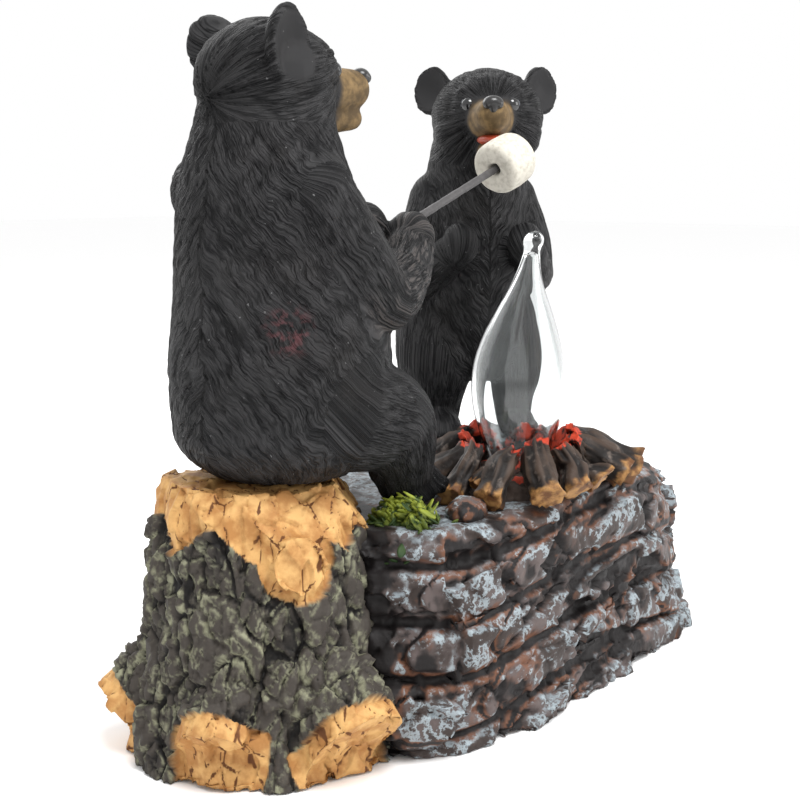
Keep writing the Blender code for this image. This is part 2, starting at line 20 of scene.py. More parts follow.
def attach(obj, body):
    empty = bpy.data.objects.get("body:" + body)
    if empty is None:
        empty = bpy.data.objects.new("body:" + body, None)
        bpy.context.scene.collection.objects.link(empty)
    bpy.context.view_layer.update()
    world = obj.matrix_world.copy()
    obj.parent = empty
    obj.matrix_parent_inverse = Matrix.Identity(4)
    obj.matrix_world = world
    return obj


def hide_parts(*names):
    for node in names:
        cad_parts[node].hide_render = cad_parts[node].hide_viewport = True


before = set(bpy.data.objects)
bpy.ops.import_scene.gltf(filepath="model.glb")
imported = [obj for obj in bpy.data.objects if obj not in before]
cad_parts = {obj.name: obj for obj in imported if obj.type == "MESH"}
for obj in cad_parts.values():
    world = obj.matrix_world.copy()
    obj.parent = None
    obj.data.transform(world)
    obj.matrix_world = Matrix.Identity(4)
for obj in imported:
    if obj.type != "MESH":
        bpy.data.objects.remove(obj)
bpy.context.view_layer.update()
MM = 0.001
MOVED = Vector((8.46, -0.4, 0))
scene = bpy.context.scene


def in_scene(name, data):
    """An object in the scene for a mesh, a lamp or a camera."""
    obj = bpy.data.objects.new(name, data)
    scene.collection.objects.link(obj)
    return obj


print("solids:", sorted(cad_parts))

# %% [markdown]
# ## The camera
#
# The photograph was taken from behind the sitting cub's right shoulder, a little above the middle of the
# figurine, and fairly close. A close camera with a normal lens makes the near cub look larger than the far
# one, so the distance matters as much as the direction.

# %% The camera
LENS_PIXELS = 1450
FRAME_PIXELS = 800
CAMERA_PLACE = Vector((-347, -252, 148))
VIEW = Vector((0.779, 0.609, -0.1513))
eye = bpy.data.cameras.new("camera")
eye.sensor_width = 36
eye.lens = LENS_PIXELS / FRAME_PIXELS * eye.sensor_width
camera = in_scene("camera", eye)
camera.location = (CAMERA_PLACE + MOVED) * MM
camera.rotation_euler = VIEW.to_track_quat("-Z", "Y").to_euler()
scene.camera = camera

# %% [markdown]
# ## Soft studio light on a pale floor
#
# The picture has a white ground and hardly any shadow, which is how small goods are shown: big soft lamps
# all round and a bright sky. One lamp is stronger than the others, so the carving still has a light side.
# The lamps' places and sizes are in metres.

# %% Light and floor
LAMP_TARGET = Vector((0, 0, 0.09))
FLOOR_DROP = 0.0002
scene.view_settings.view_transform = "Standard"
sky = bpy.data.worlds.new("studio")
scene.world = sky
sky.use_nodes = True
sky.node_tree.nodes["Background"].inputs["Color"].default_value = (1, 1, 1, 1)
sky.node_tree.nodes["Background"].inputs["Strength"].default_value = 1.0


def lamp(name, place, size, power):
    """A square soft lamp that shines at the middle of the figurine."""
    light = bpy.data.lights.new(name, "AREA")
    light.size = size
    light.energy = power
    obj = in_scene(name, light)
    obj.location = place
    obj.rotation_euler = (LAMP_TARGET - Vector(place)).to_track_quat("-Z", "Y").to_euler()


lamp("key", (-0.2, -0.35, 0.85), 0.4, 7)
lamp("side", (0.45, -0.75, 0.4), 0.5, 3)
lamp("back", (0.3, 0.7, 0.6), 0.6, 3)

floor_mesh = bpy.data.meshes.new("floor")
plane = bmesh.new()
bmesh.ops.create_grid(plane, x_segments=1, y_segments=1, size=4)
plane.to_mesh(floor_mesh)
plane.free()
floor = in_scene("floor", floor_mesh)
floor.location.z = -FLOOR_DROP
floor_paint = bpy.data.materials.new("floor")
floor_paint.use_nodes = True
floor_shader = floor_paint.node_tree.nodes["Principled BSDF"]
floor_shader.inputs["Base Color"].default_value = (0.98, 0.98, 0.98, 1)
floor_shader.inputs["Roughness"].default_value = 0.9
floor_mesh.materials.append(floor_paint)

# %% [markdown]
# ## Noise for the carving
#
# A texture in a material can only pretend that a surface is rough. Here the bark, the cracks and the fur
# are cut into the mesh itself, so they also show at the outline. NumPy works out the same noise for
# thousands of points at once: a random number at each corner of a grid, blended smoothly in between.

# %% Noise
def scatter(cells, seed):
    """A repeatable random number from 0 to 1 for each grid corner. The large numbers only stir the bits."""
    number = cells[:, 0] * 374761393 + cells[:, 1] * 668265263 + cells[:, 2] * 1274126177 + seed * 97471
    number = ((number ^ (number >> 13)) * 1103515245) & 0xFFFFFFFF
    return ((number ^ (number >> 16)) & 0xFFFF) / 65535


def noise(points, seed=0):
    """Smooth noise from -1 to 1 at each row of points."""
    base = np.floor(points).astype(np.int64)
    part = points - base
    part = part * part * (3 - 2 * part)
    total = np.zeros(len(points))
    for corner in np.ndindex(2, 2, 2):
        weight = np.prod(np.where(np.array(corner, bool), part, 1 - part), axis=1)
        total += weight * scatter(base + corner, seed)
    return 2 * total - 1


def rough(points, seed=0, octaves=4):
    """Noise with finer and weaker noise on it, from about -1 to 1."""
    total = np.zeros(len(points))
    for octave in range(octaves):
        total += noise(points * 2.03 ** octave, seed + octave) / 2 ** octave
    return total / 1.6


def cells_near(points, seed):
    """The 27 random cells around each point, with the way from each cell's middle and its length."""
    base = np.floor(points).astype(np.int64)
    for corner in np.ndindex(3, 3, 3):
        cell = base + corner - 1
        middle = cell + np.stack([scatter(cell, seed + axis) for axis in range(3)], axis=1)
        yield cell, points - middle, np.linalg.norm(points - middle, axis=1)


def cracked(points, seed=0):
    """The gap to the nearest border between two random cells, and a number from 0 to 1 for each cell."""
    nearest = np.full(len(points), np.inf)
    second = nearest
    own = np.zeros(len(points))
    for cell, _, gap in cells_near(points, seed):
        closer = gap < nearest
        second = np.where(closer, nearest, np.minimum(second, gap))
        own = np.where(closer, scatter(cell, seed + 9), own)
        nearest = np.minimum(nearest, gap)
    return second - nearest, own


def facets(points, seed=0):
    """Flat tilted planes, one for each random cell, as on broken stone: from about -0.5 to 0.5."""
    nearest = np.full(len(points), np.inf)
    tilt = np.zeros(len(points))
    for cell, offset, gap in cells_near(points, seed):
        slope = np.stack([scatter(cell, seed + axis) - 0.5 for axis in (4, 5, 6)], axis=1)
        plane = (slope * offset).sum(axis=1) + 0.4 * (scatter(cell, seed + 7) - 0.5)
        tilt = np.where(gap < nearest, plane, tilt)
        nearest = np.minimum(nearest, gap)
    return tilt


def ramp(values, low, high):
    """0 below low, 1 above high, and a smooth step between."""
    share = np.clip((values - low) / (high - low), 0, 1)
    return share * share * (3 - 2 * share)


# %% [markdown]
# ## Shapes that melt into one skin
#
# A sculptor presses lumps of clay together and smooths the joins. The Remesh modifier does the same here:
# overlapping balls and rods go in, and one closed skin of even little squares comes out. Even squares are
# what the carving needs afterwards, because every one of them can move.

# %% Clay helpers
def turned(degrees):
    return Euler([math.radians(angle) for angle in degrees]).to_matrix().to_4x4()


def heading(degrees):
    return Vector((math.cos(math.radians(degrees)), math.sin(math.radians(degrees)), 0))


def ball_mesh(segments):
    """A ball of radius 1, made once and used again for every lump."""
    name = f"ball_{segments}"
    if name not in bpy.data.meshes:
        bm = bmesh.new()
        bmesh.ops.create_uvsphere(bm, u_segments=segments, v_segments=segments // 2, radius=1)
        bm.to_mesh(bpy.data.meshes.new(name))
        bm.free()
    return bpy.data.meshes[name]


def ellipsoid(clay, centre, radii, turn=(0, 0, 0), segments=28):
    place = Matrix.Translation(centre) @ turned(turn) @ Matrix.Diagonal((*radii, 1))
    clay.append((ball_mesh(segments), place))


def rod(bm, start, end, radius, end_radius=None, segments=24):
    start = Vector(start)
    run = Vector(end) - start
    place = Matrix.Translation(start + run / 2) @ run.to_track_quat("Z", "Y").to_matrix().to_4x4()
    bmesh.ops.create_cone(bm, cap_ends=True, segments=segments, radius1=radius, radius2=end_radius or radius,
                          depth=run.length, matrix=place)


def ringed_rod(length, radius, end_radius, segments, cuts):
    """An upright rod with rings along it, so that it can be bent and roughened."""
    bm = bmesh.new()
    rod(bm, (0, 0, 0), (0, 0, length), radius, end_radius, segments)
    upright = [edge for edge in bm.edges if abs(edge.verts[0].co.z - edge.verts[1].co.z) > length / 2]
    bmesh.ops.subdivide_edges(bm, edges=upright, cuts=cuts)
    return bm


def spun(profile, steps):
    """A closed shape from its profile of radii and heights, turned once round the upright axis."""
    bm = bmesh.new()
    line = [bm.verts.new((radius, 0, height)) for radius, height in profile]
    edges = [bm.edges.new(pair) for pair in zip(line, line[1:])]
    bmesh.ops.spin(bm, geom=line + edges, cent=(0, 0, 0), axis=(0, 0, 1), angle=math.tau, steps=steps,
                   use_merge=True)
    bmesh.ops.remove_doubles(bm, verts=bm.verts, dist=0.001)
    return bm


def smooth_line(points, steps):
    """Points on a smooth curve through the given points."""
    points = [Vector(point) for point in points]
    guides = [2 * points[0] - points[1], *points, 2 * points[-1] - points[-2]]
    line = []
    for before, start, end, after in zip(guides, guides[1:], guides[2:], guides[3:]):
        for step in range(steps):
            t = step / steps
            line.append(0.5 * (2 * start + (end - before) * t
                               + (2 * before - 5 * start + 4 * end - after) * t ** 2
                               + (3 * start - before - 3 * end + after) * t ** 3))
    return [*line, points[-1]]


def sweep(clay, stations, steps=4):
    """A smooth body through stations of a centre and three radii."""
    centres, radii = zip(*stations)
    for centre, size in zip(smooth_line(centres, steps), smooth_line(radii, steps)):
        ellipsoid(clay, centre, size)


def limb(clay, *stations):
    sweep(clay, [(point, (radius, radius, radius)) for point, radius in stations], 6)


def new_object(name, bm):
    """Turns a bmesh into an object, with its faces outward."""
    bmesh.ops.recalc_face_normals(bm, faces=bm.faces)
    mesh = bpy.data.meshes.new(name)
    bm.to_mesh(mesh)
    bm.free()
    return in_scene(name, mesh)


def column(items, name, width=1, kind=np.int32):
    """One property of all points, corners or faces of a mesh as an array."""
    values = np.empty(len(items) * width, kind)
    items.foreach_get(name, values)
    return values if width == 1 else values.reshape(-1, width)


def gathered(name, clay):
    """One object from many placed copies of a few meshes."""
    points, corners, sizes = [], [], []
    count = 0
    for mesh, place in clay:
        matrix = np.array(place)
        points.append(column(mesh.vertices, "co", 3, float) @ matrix[:3, :3].T + matrix[:3, 3])
        corners.append(column(mesh.loops, "vertex_index") + count)
        sizes.append(column(mesh.polygons, "loop_total"))
        count += len(mesh.vertices)
    points, corners, sizes = np.concatenate(points), np.concatenate(corners), np.concatenate(sizes)
    mesh = bpy.data.meshes.new(name)
    mesh.vertices.add(len(points))
    mesh.vertices.foreach_set("co", points.ravel())
    mesh.loops.add(len(corners))
    mesh.loops.foreach_set("vertex_index", corners)
    mesh.polygons.add(len(sizes))
    mesh.polygons.foreach_set("loop_start", np.cumsum(sizes) - sizes)
    mesh.update(calc_edges=True)
    return in_scene(name, mesh)


def one_skin(obj, voxel, smoothing):
    """Fuses overlapping closed shapes into one closed skin of even squares."""
    fuse = obj.modifiers.new("Fuse", "REMESH")
    fuse.mode = "VOXEL"
    fuse.voxel_size = voxel
    soften = obj.modifiers.new("Soften", "SMOOTH")
    soften.factor = 0.5
    soften.iterations = smoothing
    bpy.context.view_layer.update()
    graph = bpy.context.evaluated_depsgraph_get()
    obj.data = bpy.data.meshes.new_from_object(obj.evaluated_get(graph))
    obj.modifiers.clear()
    return obj


def read(obj):
    """The mesh's points and outward directions as arrays."""
    return column(obj.data.vertices, "co", 3, float), column(obj.data.vertices, "normal", 3, float)


def move_points(obj, points):
    obj.data.vertices.foreach_set("co", points.ravel())
    obj.data.update()


def keep(obj, name, values):
    """Stores a number at every point, for the paint to read."""
    obj.data.attributes.new(name, "FLOAT", "POINT").data.foreach_set("value", np.asarray(values, float))


def keep_uv(obj, u, v, field):
    """Stores strand coordinates as the UV map. Every corner of a face takes them from the same field."""
    layer = obj.data.uv_layers.new(name="strands")
    corners = column(obj.data.loops, "vertex_index")
    first = corners[column(obj.data.polygons, "loop_start")]
    own = np.repeat(field[first], column(obj.data.polygons, "loop_total"))
    layer.data.foreach_set("uv", np.stack([u[own, corners], v[own, corners]], axis=1).ravel())


def ready(obj, paint, node=None, size=1.0, place=(0, 0, 0), yaw=0.0):
    """Brings a piece to its real size and place, paints it, and fixes it to the figurine."""
    matrix = (Matrix.Translation((Vector(place) + MOVED) * MM) @ turned((0, 0, yaw))
              @ Matrix.Diagonal((size * MM, size * MM, size * MM, 1)))
    obj.data.transform(matrix)
    obj.data.materials.clear()
    obj.data.materials.append(paint)
    obj.data.shade_smooth()
    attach(obj, "root")
    if node:
        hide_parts(node)
    faces = sum(len(face.vertices) - 2 for face in obj.data.polygons)
    print(f"{obj.name}: {faces} triangles")


# %% [markdown]
# ## Paint
#
# Resin figurines get a dark base coat, thin washes that stay in the recesses, and a nearly dry brush that
# leaves pale paint on what stands out. So each paint below mixes its colours by how high a point is carved,
# which the carving stores at every point.

# %% Paint helpers
class Paint:
    """A material that is mixed step by step. Each step gives a socket that the next one takes."""

    def __init__(self, name, roughness=0.6, specular=0.4):
        self.material = bpy.data.materials.new(name)
        self.material.use_nodes = True
        self.tree = self.material.node_tree
        self.shader = self.tree.nodes["Principled BSDF"]
        self.shader.inputs["Roughness"].default_value = roughness
        self.shader.inputs["Specular IOR Level"].default_value = specular

    def node(self, kind, inputs=None, **settings):
        made = self.tree.nodes.new(kind)
        for name, value in settings.items():
            setattr(made, name, value)
        for name, value in (inputs or {}).items():
            if isinstance(value, bpy.types.NodeSocket):
                self.tree.links.new(value, made.inputs[name])
            else:
                made.inputs[name].default_value = value
        return made

    def stored(self, name):
        return self.node("ShaderNodeAttribute", attribute_name=name).outputs["Fac"]

    def here(self):
        return self.node("ShaderNodeTexCoord").outputs["Object"]

    def strands(self, across, along):
        """The stored strand coordinates, stretched so that noise on them makes long thin marks."""
        uv = self.node("ShaderNodeUVMap", uv_map="strands").outputs["UV"]
        return self.node("ShaderNodeMapping", {"Vector": uv, "Scale": (across, along, 1)}).outputs["Vector"]

    def grain(self, scale, detail=4.0, where=None, roughness=0.55):
        return self.node("ShaderNodeTexNoise", {
            "Vector": where or self.here(), "Scale": scale, "Detail": detail, "Roughness": roughness,
        }).outputs["Fac"]

    def step(self, value, low, high):
        """0 below low and 1 above high."""
        sockets = {"Value": value, "From Min": low, "From Max": high}
        return self.node("ShaderNodeMapRange", sockets, interpolation_type="SMOOTHSTEP").outputs["Result"]

    def reckon(self, operation, first, second=0.0):
        return self.node("ShaderNodeMath", {0: first, 1: second}, operation=operation).outputs[0]

    def sum(self, first, second):
        return self.reckon("ADD", first, second)

    def less(self, first, second):
        return self.reckon("SUBTRACT", first, second)

    def times(self, first, second):
        return self.reckon("MULTIPLY", first, second)

    def grooves(self, value):
        """0 in thin grooves and 1 between them, from a noise."""
        return self.step(self.reckon("ABSOLUTE", self.less(value, 0.5)), 0.0, 0.13)

    def mix(self, share, first, second):
        made = self.tree.nodes.new("ShaderNodeMix")
        made.data_type = "RGBA"
        colours = [socket for socket in made.inputs if socket.type == "RGBA"]
        for socket, value in ((made.inputs[0], share), (colours[0], first), (colours[1], second)):
            if isinstance(value, bpy.types.NodeSocket):
                self.tree.links.new(value, socket)
            else:
                socket.default_value = value if isinstance(value, float) else (*value, 1)
        return [socket for socket in made.outputs if socket.type == "RGBA"][0]

    def finish(self, colour, bump, depth, strength):
        """Links the colour and a fine bump to the shader, and gives the material."""
        self.tree.links.new(colour, self.shader.inputs["Base Color"])
        made = self.node("ShaderNodeBump", {"Height": bump, "Distance": depth, "Strength": strength})
        self.tree.links.new(made.outputs["Normal"], self.shader.inputs["Normal"])
        return self.material


# %% [markdown]
# ## Fur that follows the body
#
# Carved fur is rows of short grooves that run the way the hair lies: down from a parting on the spine, back
# over the head, and along each limb. Each bone below gives every point of the skin two coordinates, one
# across the strands and one along them. Noise that is short across and long along then becomes strands.

# %% Bones and fur
def along_bone(points, line):
    """For each point, how far along the bone its nearest spot is, and the way from that spot to the point."""
    best = np.full(len(points), np.inf)
    along = np.zeros(len(points))
    offset = np.zeros_like(points)
    run = 0.0
    for start, end in zip(line, line[1:]):
        start, span = np.array(start, float), np.array(end, float) - np.array(start, float)
        length = np.linalg.norm(span)
        share = np.clip((points - start) @ span / length ** 2, 0, 1)
        gap = points - (start + share[:, None] * span)
        distance = np.linalg.norm(gap, axis=1)
        nearer = distance < best
        best = np.where(nearer, distance, best)
        along = np.where(nearer, run + share * length, along)
        offset = np.where(nearer[:, None], gap, offset)
        run += length
    return along, offset, best


def points_of(stations):
    return [point for point, _ in stations]


def limb_strands(points, stations, radius, up):
    """Strands along a limb: across is the way round it."""
    line = points_of(stations)
    along, offset, distance = along_bone(points, line)
    ahead = np.array(line[-1], float) - np.array(line[0], float)
    ahead /= np.linalg.norm(ahead)
    side = np.cross(ahead, up)
    side /= np.linalg.norm(side)
    top = np.cross(side, ahead)
    across = np.arctan2(offset @ side, offset @ top) * radius
    return across, along, distance - radius


def back_strands(points, line, radius, sweep_out):
    """Strands on the trunk: they leave a parting on the spine and sweep down and outward."""
    _, offset, distance = along_bone(points, line)
    round_body = np.arctan2(offset[:, 1], -offset[:, 0]) * radius + 2.5 * rough(points / 7, 33)
    side = np.sign(round_body) * 37
    longer = math.hypot(1, sweep_out)
    across = (np.abs(round_body) + sweep_out * points[:, 2]) / longer + side
    along = (points[:, 2] - sweep_out * np.abs(round_body)) / longer
    return across, along, distance - radius


def head_strands(points, centre, ahead, radius):
    """Strands on the head: they run from the nose back over the skull."""
    ahead = np.array(ahead, float) / np.linalg.norm(ahead)
    side = np.cross((0, 0, 1), ahead)
    top = np.cross(ahead, side)
    offset = points - np.array(centre, float)
    across = np.arctan2(offset @ side, offset @ top) * radius
    return across, -offset @ ahead, np.linalg.norm(offset, axis=1) - radius


def lines(across, along, wide, long, number):
    """Strands from 0 in the groove to 1 on the back of a strand."""
    where = np.stack([across / (5 * wide), along / long, np.full(len(across), number)], axis=1)
    bent = across + 0.9 * wide * noise(where, 5)
    where = np.stack([bent / wide, along / long, np.full(len(across), number)], axis=1)
    return np.minimum(1, np.abs(noise(where, 8)) * 2.2) ** 0.7


def carve_fur(obj, fields, smooth, depth):
    """Cuts the fur into a skin, and stores how high each point stands and its strand coordinates."""
    points, normals = read(obj)
    weights, heights, acrosses, alongs = [], [], [], []
    for number, (across, along, outside) in enumerate(fields):
        weights.append(np.exp(-np.clip(outside, -6, 60) / 2.5))
        fine = lines(across, along, 1.6, 8, number)
        broad = lines(across, along, 4.2, 15, number + 20)
        heights.append(0.65 * fine + 0.35 * broad)
        acrosses.append(across + 300 * number)
        alongs.append(along)
    weights = np.array(weights)
    height = (weights * np.array(heights)).sum(axis=0) / weights.sum(axis=0)
    hairy = 1 - smooth
    points += normals * ((height - 0.75) * depth * hairy)[:, None]
    move_points(obj, points)
    keep(obj, "carved", 0.8 + (height - 0.8) * hairy)
    keep(obj, "hairy", hairy)
    keep_uv(obj, np.array(acrosses) * 0.01, np.array(alongs) * 0.01, weights.argmax(axis=0))


# %% [markdown]
# ## The cubs' shared forms
#
# Both cubs come from the same hand, so one function makes both heads: a round skull, full cheeks, a short
# muzzle with a step at the brow, a separate lower jaw and cupped ears. A point is given as forward, left
# and up from the middle of the foot, in millimetres of a cub whose crown is 114 high.

# %% Heads
SCULPT_HEIGHT = 114


def cupped_ball():
    """A flat round ear before it is stretched: a ball with its front pressed in to a cup."""
    bm = bmesh.new()
    bmesh.ops.create_uvsphere(bm, u_segments=40, v_segments=24, radius=1)
    for vert in bm.verts:
        if vert.co.x > 0:
            vert.co.x -= 1.3 * max(0.0, 1 - (vert.co.y ** 2 + vert.co.z ** 2))
    mesh = bpy.data.meshes.new("ear")
    bm.to_mesh(mesh)
    bm.free()
    return mesh


EAR = cupped_ball()


def ear_place(side, centre, radii, turn):
    forward, out, up = centre
    roll, pitch, yaw = turn
    return (Matrix.Translation((forward, side * out, up)) @ turned((side * roll, pitch, side * yaw))
            @ Matrix.Diagonal((*radii, 1)))


def head(body, centre, turn, mouth_open, ears):
    """Adds a head to the clay of a body, and gives the head's place."""
    clay = []
    ellipsoid(clay, (0, 0, 0), (17.5, 17.3, 15))
    ellipsoid(clay, (6, 0, 1), (13.5, 13.5, 12))
    sweep(clay, [((11, 0, -2), (10, 8.6, 7.8)), ((19, 0, -2.4), (8.5, 6.4, 6.1)),
                 ((25.3, 0, -2.2), (5.6, 5.1, 5.2))])
    jaw = -9.4 - mouth_open
    limb(clay, ((8, 0, -8), 6.5), ((18, 0, jaw), 4), ((25.5, 0, jaw), 3.1))
    for side in (-1, 1):
        ellipsoid(clay, (4, side * 8, -5), (9.5, 8.4, 9))
        ellipsoid(clay, (12.6, side * 6.8, 5.6), (3.2, 3.8, 2.4), (0, 0, side * 25))
        clay.append((EAR, ear_place(side, *ears)))
    place = Matrix.Translation(centre) @ turned(turn)
    body += [(mesh, place @ own) for mesh, own in clay]
    return place


def toes(clay, tip, facing, spread, radius, count=5):
    across = heading(facing + 90)
    for toe in range(count):
        share = 2 * toe / (count - 1) - 1
        place = Vector(tip) + across * spread * share - heading(facing) * 0.6 * radius * share ** 2
        ellipsoid(clay, place, (1.5 * radius, radius, radius), (0, 0, facing), 16)


def in_head(points, place):
    """The points as the head sees them: forward, left and up from the middle of the skull."""
    back = np.array(place.inverted())
    return points @ back[:3, :3].T + back[:3, 3]


def muzzle_share(seen, start):
    """1 on the muzzle and 0 on the rest of the cub, for points as the head sees them."""
    return (ramp(seen[:, 0], start, start + 3) * (1 - ramp(np.abs(seen[:, 1]), 8, 10.5))
            * ramp(seen[:, 2], -18, -15) * (1 - ramp(seen[:, 2], 3.5, 6)))


def smooth_skin(points, place, ears):
    """1 on the muzzle and inside the cups of the ears, where no fur is carved."""
    smooth = muzzle_share(in_head(points, place), 15)
    for side in (-1, 1):
        near = in_head(points, place @ ear_place(side, *ears))
        round_ear = np.linalg.norm(near[:, 1:], axis=1)
        smooth = np.maximum(smooth, (1 - ramp(round_ear, 0.75, 0.95)) * ramp(near[:, 0], -0.55, -0.35)
                            * (1 - ramp(near[:, 0], 0.9, 1.2)))
    return smooth


# %% [markdown]
# ## Fur paint
#
# The resin is painted black and dry-brushed with a brownish grey, so the backs of the strands are paler
# than the grooves. The muzzle is ochre, and the forearms are brushed more heavily than the rest. Finer
# hairs than the mesh can hold come from noise on the strand coordinates.

# %% Fur paint
def fur_paint(name):
    paint = Paint(name, 0.55, 0.16)
    hairs = paint.grooves(paint.grain(1.0, 1.0, paint.strands(75, 11)))
    thin_hairs = paint.grooves(paint.grain(1.0, 1.0, paint.strands(160, 20)))
    both = paint.sum(paint.times(hairs, 0.6), paint.times(thin_hairs, 0.4))
    bald = paint.less(1.0, paint.stored("hairy"))
    both = paint.sum(paint.times(both, paint.stored("hairy")), paint.times(bald, 0.6))
    patches = paint.grain(60)
    carved = paint.stored("carved")
    shown = paint.sum(paint.times(carved, 0.45), paint.times(both, 0.55))
    coat = paint.mix(paint.step(shown, 0.25, 0.95), (0.003, 0.003, 0.0035), (0.028, 0.0275, 0.0285))
    coat = paint.mix(paint.times(paint.step(patches, 0.5, 0.8), 0.3), coat, (0.022, 0.019, 0.017))
    brushed = paint.times(paint.step(shown, 0.55, 1.0), paint.stored("brushed"))
    coat = paint.mix(paint.times(brushed, 0.5), coat, (0.1, 0.085, 0.078))
    specks = paint.step(paint.grain(900, 1.0), 0.76, 0.79)
    coat = paint.mix(paint.times(specks, 0.35), coat, (0.3, 0.3, 0.3))
    worn = paint.times(paint.stored("worn"), paint.step(paint.grain(420), 0.45, 0.62))
    coat = paint.mix(worn, coat, (0.14, 0.05, 0.055))
    ochre = paint.mix(paint.step(paint.grain(330, 5.0), 0.35, 0.7), (0.08, 0.052, 0.024), (0.2, 0.13, 0.058))
    coat = paint.mix(paint.stored("muzzle"), coat, ochre)
    return paint.finish(coat, both, 0.0007, 0.9)


def plain_paint(name, colour, roughness, specular=0.5):
    paint = Paint(name, roughness, specular)
    tone = paint.grain(500, 4.0)
    darker = tuple(channel * 0.72 for channel in colour)
    return paint.finish(paint.mix(tone, darker, colour), tone, 0.00005, 0.3)


nose_paint = plain_paint("nose_black", (0.012, 0.011, 0.011), 0.28, 0.6)
eye_paint = plain_paint("eye_black", (0.004, 0.004, 0.005), 0.06, 0.8)
lid_paint = plain_paint("eyelid_grey", (0.09, 0.095, 0.12), 0.4)
mouth_paint = plain_paint("mouth_red", (0.42, 0.055, 0.02), 0.4)


def face_parts(name, place, size, where, yaw, mouth_open):
    """The eyes with their lids, the nose and the tongue, each its own smooth piece."""
    cub = (None, size, where, yaw)
    for word, side in (("right", -1), ("left", 1)):
        clay = []
        ellipsoid(clay, place @ Vector((15.9, side * 6.3, 2.1)), (2.4, 2.4, 2.4))
        ready(gathered(f"{name}_{word}_eye", clay), eye_paint, *cub)
        bm = bmesh.new()
        bmesh.ops.create_circle(bm, cap_ends=False, segments=12, radius=0.3)
        bmesh.ops.translate(bm, verts=bm.verts, vec=(2, 0, 0))
        bmesh.ops.rotate(bm, verts=bm.verts, matrix=turned((90, 0, 0)).to_3x3(), cent=(2, 0, 0))
        bmesh.ops.spin(bm, geom=bm.verts[:] + bm.edges[:], cent=(0, 0, 0), axis=(0, 0, 1),
                       angle=math.tau, steps=32, use_merge=True)
        lid = place @ Matrix.Translation((16.7, side * 6.7, 2.2)) @ turned((0, 82, side * 24))
        bmesh.ops.transform(bm, matrix=lid, verts=bm.verts)
        ready(new_object(f"{name}_{word}_eyelid", bm), lid_paint, *cub)
    clay = []
    ellipsoid(clay, (28.9, 0, 1.1), (2.5, 3.1, 2.2))
    ellipsoid(clay, (29.9, 0, -0.4), (1.4, 1.3, 1.9))
    for side in (-1, 1):
        ellipsoid(clay, (29.8, side * 1.5, 0.7), (1.4, 1.5, 1.5))
    clay = [(mesh, place @ own) for mesh, own in clay]
    ready(one_skin(gathered(f"{name}_nose", clay), 0.3, 3), nose_paint, *cub)
    if mouth_open:
        clay = []
        ellipsoid(clay, place @ Vector((21.5, 0, -8.7)), (6.4, 4, 1.7))
        ready(gathered(f"{name}_tongue", clay), mouth_paint, *cub)


# %% [markdown]
# ## The cub on the stump
#
# It is a pear of overlapping balls: a wide rump that spreads on the stump, a back that narrows to the neck,
# and two arms that meet in front on the stick. The legs hang over the stump's edge.

# %% The sitting cub
STUMP_PLACE = Vector((-78, 4, 0))
STUMP_HEIGHT = 72
STUMP_RADIUS = 27
GAP = 0.3
SEAT_ROOM = 3
CUB_SEAT = Vector((-75, 1, STUMP_HEIGHT + GAP))
SITTING_SIZE = 116 / SCULPT_HEIGHT
RIGHT_ARM = [((-5, -16, 71), 11), ((3, -20, 58), 10), ((15, -21.5, 45), 8.8), ((28, -18, 49), 7.6),
             ((38, -13, 55.5), 6.6)]
LEFT_ARM = [((-5, 16, 71), 11), ((4, 20, 58), 9.6), ((14, 21, 47), 8.4), ((24, 13, 53), 7),
            ((31, 6, 58), 6.4)]


def leg(side):
    return [((6, side * 15, 17), 16), ((21, side * 18, 12), 13.2), ((29, side * 17.5, 0), 8.8),
            ((31, side * 17.5, -5), 7)]


fur_black = fur_paint("black_fur")
clay = []
sweep(clay, [((1, 0, 12), (27, 27.5, 15)), ((1.5, 0, 26), (28.5, 28.5, 22)), ((1.5, 0, 42), (27, 27, 20)),
           ((-1, 0, 57), (24, 25, 20)), ((-3, 0, 71), (21, 22.5, 18)), ((-3, 0, 86), (17.5, 18, 13)),
           ((-2, 0, 95), (16.5, 17, 12))])
SITTING_EARS = ((-3, 16, 7.2), (4.6, 7.6, 10), (-22, 8, 68))
sitting_head = head(clay, (-3, 0, 98), (0, -2, -14), 0, SITTING_EARS)
limb(clay, *RIGHT_ARM)
limb(clay, *LEFT_ARM)
ellipsoid(clay, (42.5, -9.5, 58.5), (7.6, 6.6, 7.2), (0, -20, 0))
ellipsoid(clay, (36.5, 1.5, 61), (7.6, 6.6, 7.2), (0, -20, 0))
for side in (-1, 1):
    limb(clay, *leg(side))
    ellipsoid(clay, (33, side * 17.5, -6), (11, 7, 6))
    toes(clay, (41, side * 17.5, -7), 0, 5, 2.4)
sitting = one_skin(gathered("stump_cub_body", clay), 0.64, 6)

points, _ = read(sitting)
carve_fur(sitting, [
    back_strands(points, [(0, 0, 8), (0, 0, 50), (-3, 0, 74)], 22, 0.7),
    head_strands(points, (-3, 0, 98), sitting_head.to_3x3() @ Vector((1, 0, 0.25)), 20),
    *[limb_strands(points, arm, 8.5, (0, 0, 1)) for arm in (RIGHT_ARM, LEFT_ARM)],
    *[limb_strands(points, leg(side), 14, (0, 0, 1)) for side in (-1, 1)],
], smooth_skin(points, sitting_head, SITTING_EARS), 0.75)
points, _ = read(sitting)
from_axis = np.linalg.norm(points[:, :2] * SITTING_SIZE + np.array((CUB_SEAT - STUMP_PLACE).xy), axis=1)
seated = from_axis < STUMP_RADIUS + SEAT_ROOM
points[:, 2] = np.where(seated, np.maximum(points[:, 2], 0), points[:, 2])
move_points(sitting, points)
seen = in_head(points, sitting_head)
seen[:, 0] += 1.5 * rough(points / 4, 3)
keep(sitting, "muzzle", muzzle_share(seen, 17))
_, _, to_arm = along_bone(points, points_of(RIGHT_ARM)[2:] + [(46, -8, 59)])
